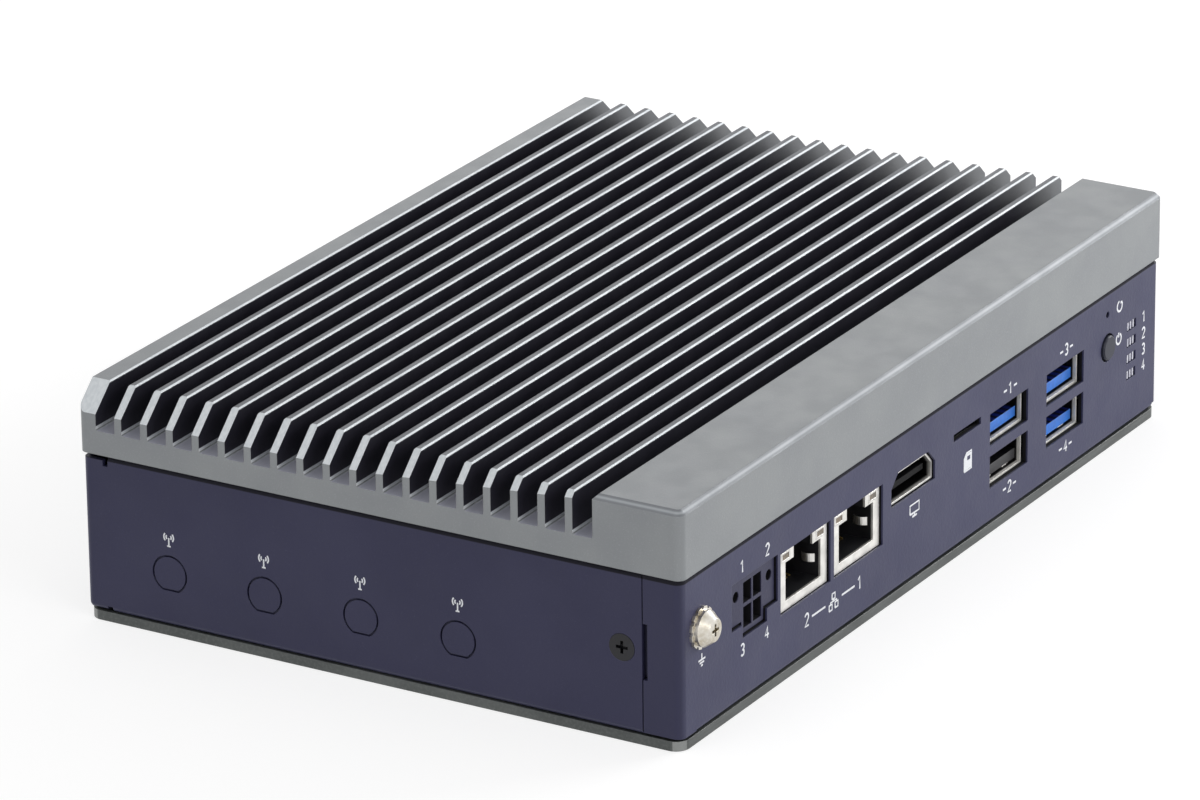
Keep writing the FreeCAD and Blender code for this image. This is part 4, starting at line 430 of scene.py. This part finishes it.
# The looks of the record's material slots, and below them those of single nodes
LOOKS = {
    "cover_aluminium": cover_look(),
    "housing_paint": paint_look(),
    "plate_steel": plate_look(),
    "black_screw": metal_look("black_screw", rgb(16, 16, 20), rgb(26, 26, 32), EVEN, 0.46, 0.2),
    "zinc": metal_look("zinc", rgb(158, 160, 160), rgb(192, 194, 192), (1, 1, 0.3), 0.34),
    "nickel": metal_look("nickel", rgb(196, 194, 190), rgb(226, 224, 220), (0.2, 1, 1), 0.26),
    "black_plastic": plastic_look("black_plastic", rgb(16, 16, 19), rgb(24, 24, 28), 0.42),
    "grey_plastic": plastic_look("grey_plastic", rgb(42, 44, 55), rgb(52, 54, 65), 0.34,
                                 level=0.2),
    "blue_plastic": tongue_look("blue_plastic", rgb(26, 112, 208), rgb(22, 40, 122)),
    "clear_plastic": lamp_look("clear_plastic", rgb(84, 74, 60), rgb(132, 112, 84)),
    "gold": metal_look("gold", rgb(186, 152, 84), rgb(226, 196, 124), (1, 0.2, 1), 0.24),
    "board": board_look(),
    "chip": plastic_look("chip", rgb(28, 28, 30), rgb(42, 42, 44), 0.5),
    "pad": plastic_look("pad", rgb(140, 142, 152), rgb(168, 170, 178), 0.7, 0.03),
    "cell_steel": metal_look("cell_steel", rgb(170, 170, 168), rgb(206, 206, 202), EVEN, 0.3),
    "ink": ink_look(),
    "light_pipe": pipe_look(),
    "power_header": paint_look("power_header", cut=HEADER_FACE + 0.15),
    # The port face's navy is a lighter copy of the housing's: painted light
    "front_panel": paint_look("front_paint_lit", rgb(51, 52, 80), rgb(56, 57, 85), FACE + 0.3),
    "video_insert": plastic_look("video_plastic", rgb(6, 6, 8), rgb(12, 12, 14), 0.5,
                                 level=0.1),
    "serial_tongue_2": tongue_look("serial_tongue_2", rgb(34, 34, 38), rgb(16, 16, 18)),
    "jack_shield_1": port_look("jack_metal", 1.2, 2.6),
    "serial_shell_1": port_look("serial_metal", 1.6, 1.9, 0.2),
    "video_shell": port_look("video_metal", 0.75, 1.5),
    "card_socket": port_look("card_metal", 0.0, 0.6),
    "ground_screw": metal_look("ground_steel", rgb(180, 170, 150), rgb(226, 223, 216), EVEN,
                               0.26),
}
LOOKS["jack_shield_2"] = LOOKS["jack_shield_1"]
LOOKS["serial_shell_2"] = LOOKS["serial_shell_1"]
LOOKS["ground_washer"] = LOOKS["ground_screw"]

for part in frame["record"]["subparts"]:
    node = part["node"]
    materials = frame["nodes"][node].data.materials
    materials.clear()
    materials.append(LOOKS.get(node, LOOKS[part["material_slot"]]))


# ---------------------------------------------------------------------------------------------
# Pieces
# ---------------------------------------------------------------------------------------------

def add(name, data):
    """A new object in the scene."""
    piece = bpy.data.objects.new(name, data)
    bpy.context.scene.collection.objects.link(piece)
    return piece


def settle(piece, look):
    """Give a piece its material and its slot, and let it ride with the housing."""
    piece.data.materials.append(LOOKS[look])
    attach(piece, "housing")


# ---------------------------------------------------------------------------------------------
# Printed marks
# ---------------------------------------------------------------------------------------------

INK = 0.2           # half the width of a printed line
INK_FINE = 0.14     # the same in the antenna marks
INK_GROUND = 0.17   # the same in the earth mark
INK_FLAT = 0.12     # height of a line's section over its width
RING = 0.95         # radius of the power and reset marks
TALL = 2.2          # height of the network jacks' numbers
SHORT = 2.0         # height of the header's and serial ports' numbers
LAMP_TALL = 1.9     # height of the status lamps' numbers
SHIFT = 0.35        # the numbers stand this far right of the ports' middles


def arc(x, z, radius, start, end, steps):
    """Points on an arc, angles in degrees from +X towards +Z."""
    turn = (end - start) / steps
    angles = [math.radians(start + turn * step) for step in range(steps + 1)]
    return [(x + radius * math.cos(a), z + radius * math.sin(a)) for a in angles]


def printed(name, place, lines, thick=INK, left=False):
    """A mark of lines at a place along X on the port panel, or along Y on the left side."""
    curve = bpy.data.curves.new(name, "CURVE")
    curve.dimensions = "3D"
    curve.bevel_depth = thick * MM
    curve.bevel_resolution = 2
    curve.use_fill_caps = True
    for line in lines:
        spline = curve.splines.new("POLY")
        spline.points.add(len(line) - 1)
        for point, (u, v) in zip(spline.points, line):
            point.co = (u * MM, 0, v * MM, 1)
    mesh = bpy.data.meshes.new_from_object(bpy.data.objects.new(name, curve))
    bpy.data.curves.remove(curve)
    for polygon in mesh.polygons:
        polygon.use_smooth = True
    mark = add(name, mesh)
    mark.scale = (1, INK_FLAT, 1)
    along, up = place
    if left:
        mark.rotation_euler = (0, 0, math.radians(-90))
        mark.location = (SIDE * MM, along * MM, up * MM)
    else:
        mark.location = (along * MM, FACE * MM, up * MM)
    settle(mark, "ink")


def digit(value, high):
    """The strokes of a numeral from 1 to 4, centred, so many millimetres high."""
    h = high / 2
    w = high * 0.27
    if value == 1:
        return [[(-w * 0.8, h * 0.55), (0.1, h), (0.1, -h)]]
    if value == 2:
        return [arc(0, h - w, w, 165, -35, 10) + [(-w, -h), (w, -h)]]
    if value == 3:
        return [arc(0, h / 2, h / 2, 150, -90, 10) + arc(0, -h / 2, h / 2, 90, -150, 10)]
    return [[(w * 0.5, -h), (w * 0.5, h), (-w, -h * 0.35), (w * 1.2, -h * 0.35)]]


def dashes(left, right, near_left, near_right):
    """A level line on each side of a mark, from its far end to its near one."""
    return [[(-left, 0), (-near_left, 0)], [(near_right, 0), (right, 0)]]


def antenna_mark():
    """A mast with waves to both sides."""
    lines = [[(0, -1.15), (0, 0.35)], [(-0.35, -1.15), (0.35, -1.15)]]
    for radius in (0.5, 0.95):
        lines.append(arc(0, 0.45, radius, -42, 42, 8))
        lines.append(arc(0, 0.45, radius, 138, 222, 8))
    return lines


def ground_mark():
    """The earth symbol: a stem and three bars."""
    bars = [[(-w, z), (w, z)] for w, z in ((1.1, 0.0), (0.7, -0.5), (0.3, -1.0))]
    return [[(0, 1.1), (0, 0)]] + bars


def network_mark():
    """Three linked boxes, as on any network port."""
    corners = [(-0.5, -0.5), (0.5, -0.5), (0.5, 0.5), (-0.5, 0.5), (-0.5, -0.5)]
    boxes = [[(x + u, z + v) for u, v in corners] for x, z in ((0, 0.9), (-1, -0.9), (1, -0.9))]
    return boxes + [[(0, 0.4), (0, 0)], [(-1, -0.4), (-1, 0), (1, 0), (1, -0.4)]]


def screen_mark():
    """A display on its foot."""
    glass = [(-1.6, -0.5), (1.6, -0.5), (1.6, 1.1), (-1.6, 1.1), (-1.6, -0.5)]
    return [glass, [(0, -0.5), (0, -1.1)], [(-0.8, -1.1), (0.8, -1.1)]]


def power_mark():
    """The open ring with a stroke."""
    return [arc(0, 0, RING, 120, 420, 24), [(0, 0.3), (0, 1.2)]]


def reset_mark():
    """An open ring that ends in an arrow."""
    return [arc(0, 0, RING, 100, 400, 24), [(0.3, 0.5), (0.75, 0.65), (1.05, 0.15)]]


def card_mark():
    """A memory card with its cut corner, filled but for one contact field."""
    lines = [[(-1.3, -1.6), (1.3, -1.6), (1.3, 1.6), (-0.5, 1.6), (-1.3, 0.8), (-1.3, -1.6)]]
    for step in range(8):
        u = -1.05 + 0.3 * step
        top = min(1.4, u + 1.9)
        if -0.2 < u < 0.8:
            lines += [[(u, -1.4), (u, 0.2)], [(u, 0.95), (u, top)]]
        else:
            lines.append([(u, -1.4), (u, top)])
    return lines


# Numbers round the header's corners, above and below each serial port, and beside each lamp
HEADER_PLACES = ((-4.1, 2.55, "high"), (4.2, 2.55, "high"),
                 (-4.1, -2.4, "low"), (3.9, -2.4, "low"))
SERIAL_PLACES = ((SHIFT, 1.55, "high"), (SHIFT, -2.05, "low"))
STATUS_LAMPS = 4
STATUS_PITCH = 3.05     # status lamps apart

for number, place in enumerate(HEADER_PLACES, 1):
    printed(f"mark_header_{number}", near("power_header", *place), digit(number, SHORT))

number = 0
for shell in ("serial_shell_1", "serial_shell_2"):
    for place in SERIAL_PLACES:
        number += 1
        lines = digit(number, SHORT) + dashes(2.4, 2.4, 1.3, 1.3)
        printed(f"mark_serial_{number}", near(shell, *place), lines)

x, lowest = near("light_pipe", 4.75, 0.75, "low")
for number in range(1, STATUS_LAMPS + 1):
    place = (x, lowest + STATUS_PITCH * (STATUS_LAMPS - number))
    printed(f"mark_lamp_{number}", place, digit(number, LAMP_TALL))

# Symbols beside what they stand for
printed("mark_ground", near("ground_screw", 0.4, -5.8), ground_mark(), INK_GROUND)
jack_2_number = near("jack_shield_1", SHIFT, -4.0, "low")
jack_1_number = near("jack_shield_2", SHIFT, -4.0, "low")
linked = ((jack_2_number[0] + jack_1_number[0]) / 2 + 0.1, jack_1_number[1])
printed("mark_network_2", jack_2_number, digit(2, TALL))
printed("mark_network", linked, network_mark())
printed("mark_network_1", jack_1_number, digit(1, TALL))
printed("mark_network_rules", linked, dashes(7.4, 7.2, 2.8, 2.8))
printed("mark_screen", near("video_shell", 0.5, -3.25, "low"), screen_mark())
printed("mark_card", near("card_socket", 0.3, -4.85, "low"), card_mark())
printed("mark_reset", near("reset_plunger", 4.6, 0.1), reset_mark())
printed("mark_power", near("power_plunger", 4.2, 0.2), power_mark())

# One mark over each knock-out
ANTENNAS = 4
ANTENNA_FIRST = 16.75   # rearmost knock-out from the rear face
ANTENNA_PITCH = 18.7    # knock-outs apart
ANTENNA_MARK = 15.6     # the marks above the chassis's lower edge
for number in range(1, ANTENNAS + 1):
    y = CHASSIS_HIGH.y - ANTENNA_FIRST - ANTENNA_PITCH * (number - 1)
    place = (y, CHASSIS_LOW.z + ANTENNA_MARK)
    printed(f"mark_antenna_{number}", place, antenna_mark(), INK_FINE, left=True)


# ---------------------------------------------------------------------------------------------
# Springs and frames inside the ports
# ---------------------------------------------------------------------------------------------

SPRING_GAUGE = 0.15
SPRING_EDGE = 0.045
JACK_HALF = 5.88            # a jack's springs to each side of its middle
JACK_SPRING = 0.65          # the same springs below its middle
SERIAL_HALF = 3.2           # a serial port's springs to each side of its middle
SERIAL_SPRING = 0.37        # the same springs above its shell's lowest point
JACK_LAMP = 2.9             # width of a lamp beside a jack's opening
FRAME_GAUGE = 0.12
FRAME_EDGE = 0.03
FRAME_PAST = (0.1, 0.15, 0.1)   # a lamp's frame past its sides, its lower edge and its upper edge
FRAME_PROUD = 0.03              # the same frame before the lamp's face
FRAME_WINDOW = (1.1, 0.5)       # half the width and height that the frame leaves open
BOW_STEPS = 8


def leaf(name, points, faces, gauge, edge):
    """A plated piece of thin sheet, from one face of it, its gauge and its rounded edges."""
    mesh = bpy.data.meshes.new(name)
    mesh.from_pydata([tuple(Vector(point) * MM) for point in points], [], faces)
    piece = add(name, mesh)
    thick = piece.modifiers.new("gauge", "SOLIDIFY")
    thick.thickness = gauge * MM
    thick.offset = 0
    edges = piece.modifiers.new("edges", "BEVEL")
    edges.width = edge * MM
    edges.segments = 2
    settle(piece, "nickel")


def spring(name, points, across, wide):
    """A bent leaf spring, from its centre line and the direction and size of its width."""
    half = Vector(across) * wide / 2
    rows = [Vector(point) + side * half for point in points for side in (-1, 1)]
    faces = [(i, i + 1, i + 3, i + 2) for i in range(0, len(rows) - 2, 2)]
    leaf(name, rows, faces, SPRING_GAUGE, SPRING_EDGE)


def bow(depth, reach, high):
    """A shallow bow: how deep each point lies, and how far it stands off its wall."""
    parts = [step / BOW_STEPS for step in range(BOW_STEPS + 1)]
    return [(depth + reach * part, high * math.sin(math.pi * part)) for part in parts]


def bezel(name, low, high, face):
    """A thin frame around a lamp's window, from its own lowest and highest corner."""
    x, z = (low[0] + high[0]) / 2, (low[1] + high[1]) / 2
    outer = ((high[0] - low[0]) / 2, (high[1] - low[1]) / 2)
    corners = [(-1, -1), (1, -1), (1, 1), (-1, 1)]
    points = [(x + u * w, face, z + v * h) for w, h in (outer, FRAME_WINDOW) for u, v in corners]
    faces = [(i, (i + 1) % 4, 4 + (i + 1) % 4, 4 + i) for i in range(4)]
    leaf(name, points, faces, FRAME_GAUGE, FRAME_EDGE)


SIDES = (("left", -1), ("right", 1))
for number, middle in enumerate(JACKS, 1):
    for tag, side in SIDES:
        line = [(middle.x + side * (JACK_HALF - off), FACE + depth, middle.z - JACK_SPRING)
                for depth, off in bow(1.6, 2.6, 0.6)]
        spring(f"jack_spring_{number}_{tag}", line, (0, 0, 1), 1.5)
for number, (low, high) in enumerate(SERIALS, 1):
    for tag, side in SIDES:
        x = (low.x + high.x) / 2 + side * SERIAL_HALF
        line = [(x, FACE + depth, low.z + SERIAL_SPRING + off)
                for depth, off in bow(2.4, 3.2, 0.25)]
        spring(f"serial_spring_{number}_{tag}", line, (1, 0, 0), 2.2)
past_side, past_low, past_high = FRAME_PAST
for number in (1, 2):
    low, high = box(f"jack_lamps_{number}")
    for tag, left in (("left", low.x), ("right", high.x - JACK_LAMP)):
        corner = (left - past_side, low.z - past_low)
        opposite = (left + JACK_LAMP + past_side, high.z + past_high)
        bezel(f"jack_bezel_{number}_{tag}", corner, opposite, low.y - FRAME_PROUD)


# ---------------------------------------------------------------------------------------------
# Floor, light and camera
# ---------------------------------------------------------------------------------------------

FLOOR_HALF = 6.0
FLOOR_LEVEL = -0.0001
FLOOR_GLOW = 0.66


def seen(nodes, links):
    """1 for what the camera, gloss and glass see, and 0 for the light that falls on things."""
    path = nodes.new("ShaderNodeLightPath")
    total = path.outputs["Is Camera Ray"]
    for name in ("Is Glossy Ray", "Is Transmission Ray"):
        node = nodes.new("ShaderNodeMath")
        node.operation = "ADD"
        node.use_clamp = True
        links.new(total, node.inputs[0])
        links.new(path.outputs[name], node.inputs[1])
        total = node.outputs[0]
    return total


def floor_look():
    """A pale matt floor: white where it is seen, apart from the object's soft shadow."""
    look = Look("floor", level=0.1)
    shown = seen(look.nodes, look.links)
    look.set(look.shader, "Emission Color", WHITE)
    look.set(look.shader, "Emission Strength", look.times(shown, FLOOR_GLOW))
    white = look.mix(look.grain(60.0), rgb(240, 240, 240), rgb(244, 244, 244))
    return look.finish(look.mix(shown, white, rgb(176, 176, 176)), 0.8)


def floor():
    """A wide floor just under the base plate."""
    mesh = bpy.data.meshes.new("floor")
    corners = [(-1, -1), (1, -1), (1, 1), (-1, 1)]
    points = [(x * FLOOR_HALF, y * FLOOR_HALF, FLOOR_LEVEL) for x, y in corners]
    mesh.from_pydata(points, [], [(0, 1, 2, 3)])
    mesh.materials.append(floor_look())
    add("floor", mesh)


def world(level):
    """A white surround that the camera and gloss see, and a softer one that lights the object."""
    surround = bpy.data.worlds.new("surround")
    bpy.context.scene.world = surround
    surround.use_nodes = True
    nodes, links = surround.node_tree.nodes, surround.node_tree.links
    nodes.clear()
    mixed = nodes.new("ShaderNodeMixShader")
    links.new(seen(nodes, links), mixed.inputs[0])
    for socket, strength in ((1, level), (2, 1.0)):
        plain = nodes.new("ShaderNodeBackground")
        plain.inputs["Color"].default_value = WHITE
        plain.inputs["Strength"].default_value = strength
        links.new(plain.outputs[0], mixed.inputs[socket])
    out = nodes.new("ShaderNodeOutputWorld")
    links.new(mixed.outputs[0], out.inputs["Surface"])


def facing(place, aim):
    """The turn that points a lamp or a camera from its place to its aim."""
    return (Vector(aim) - Vector(place)).to_track_quat("-Z", "Y")


def lamp(name, place, aim, size, power):
    """A square soft box, from its place, what it points at, its width and its power."""
    light = bpy.data.lights.new(name, "AREA")
    light.shape = "SQUARE"
    light.size = size
    light.energy = power
    piece = add(name, light)
    piece.location = place
    piece.rotation_euler = facing(place, aim).to_euler()


def camera(place, aim, roll, lens):
    """A camera from its place, what it points at, its roll in degrees and its focal length."""
    data = bpy.data.cameras.new("camera")
    data.sensor_width = 36.0
    data.lens = lens
    data.clip_start = 0.05
    data.clip_end = 40.0
    piece = add("camera", data)
    piece.location = place
    level = Quaternion((0, 0, 1), math.radians(roll))
    piece.rotation_euler = (facing(place, aim) @ level).to_euler()
    bpy.context.scene.camera = piece


floor()
world(0.5)

# Large boxes above, in front and to both sides, and a weak one behind the right end
lamp("top_box", (-0.7, 0.1, 1.4), (0, 0, 0.02), 1.4, 4.2)
lamp("front_box", (-0.5, -1.5, 0.6), (0, 0, 0.02), 1.0, 6.0)
lamp("right_box", (0.7, -0.45, 0.24), (0.07, -0.05, 0.02), 0.45, 4.5)
lamp("far_box", (0.32, 0.12, 0.2), (0.07, -0.03, 0.04), 0.25, 0.1)
lamp("left_box", (-1.4, 0.2, 0.6), (0, 0, 0.03), 1.0, 2.0)

# A long lens, from the front left and above
camera((-1.0481, -0.61626, 0.50107), (0.0029, 0.00927, 0.01801), -0.63, 228.3)
bpy.context.scene.view_settings.view_transform = "Standard"
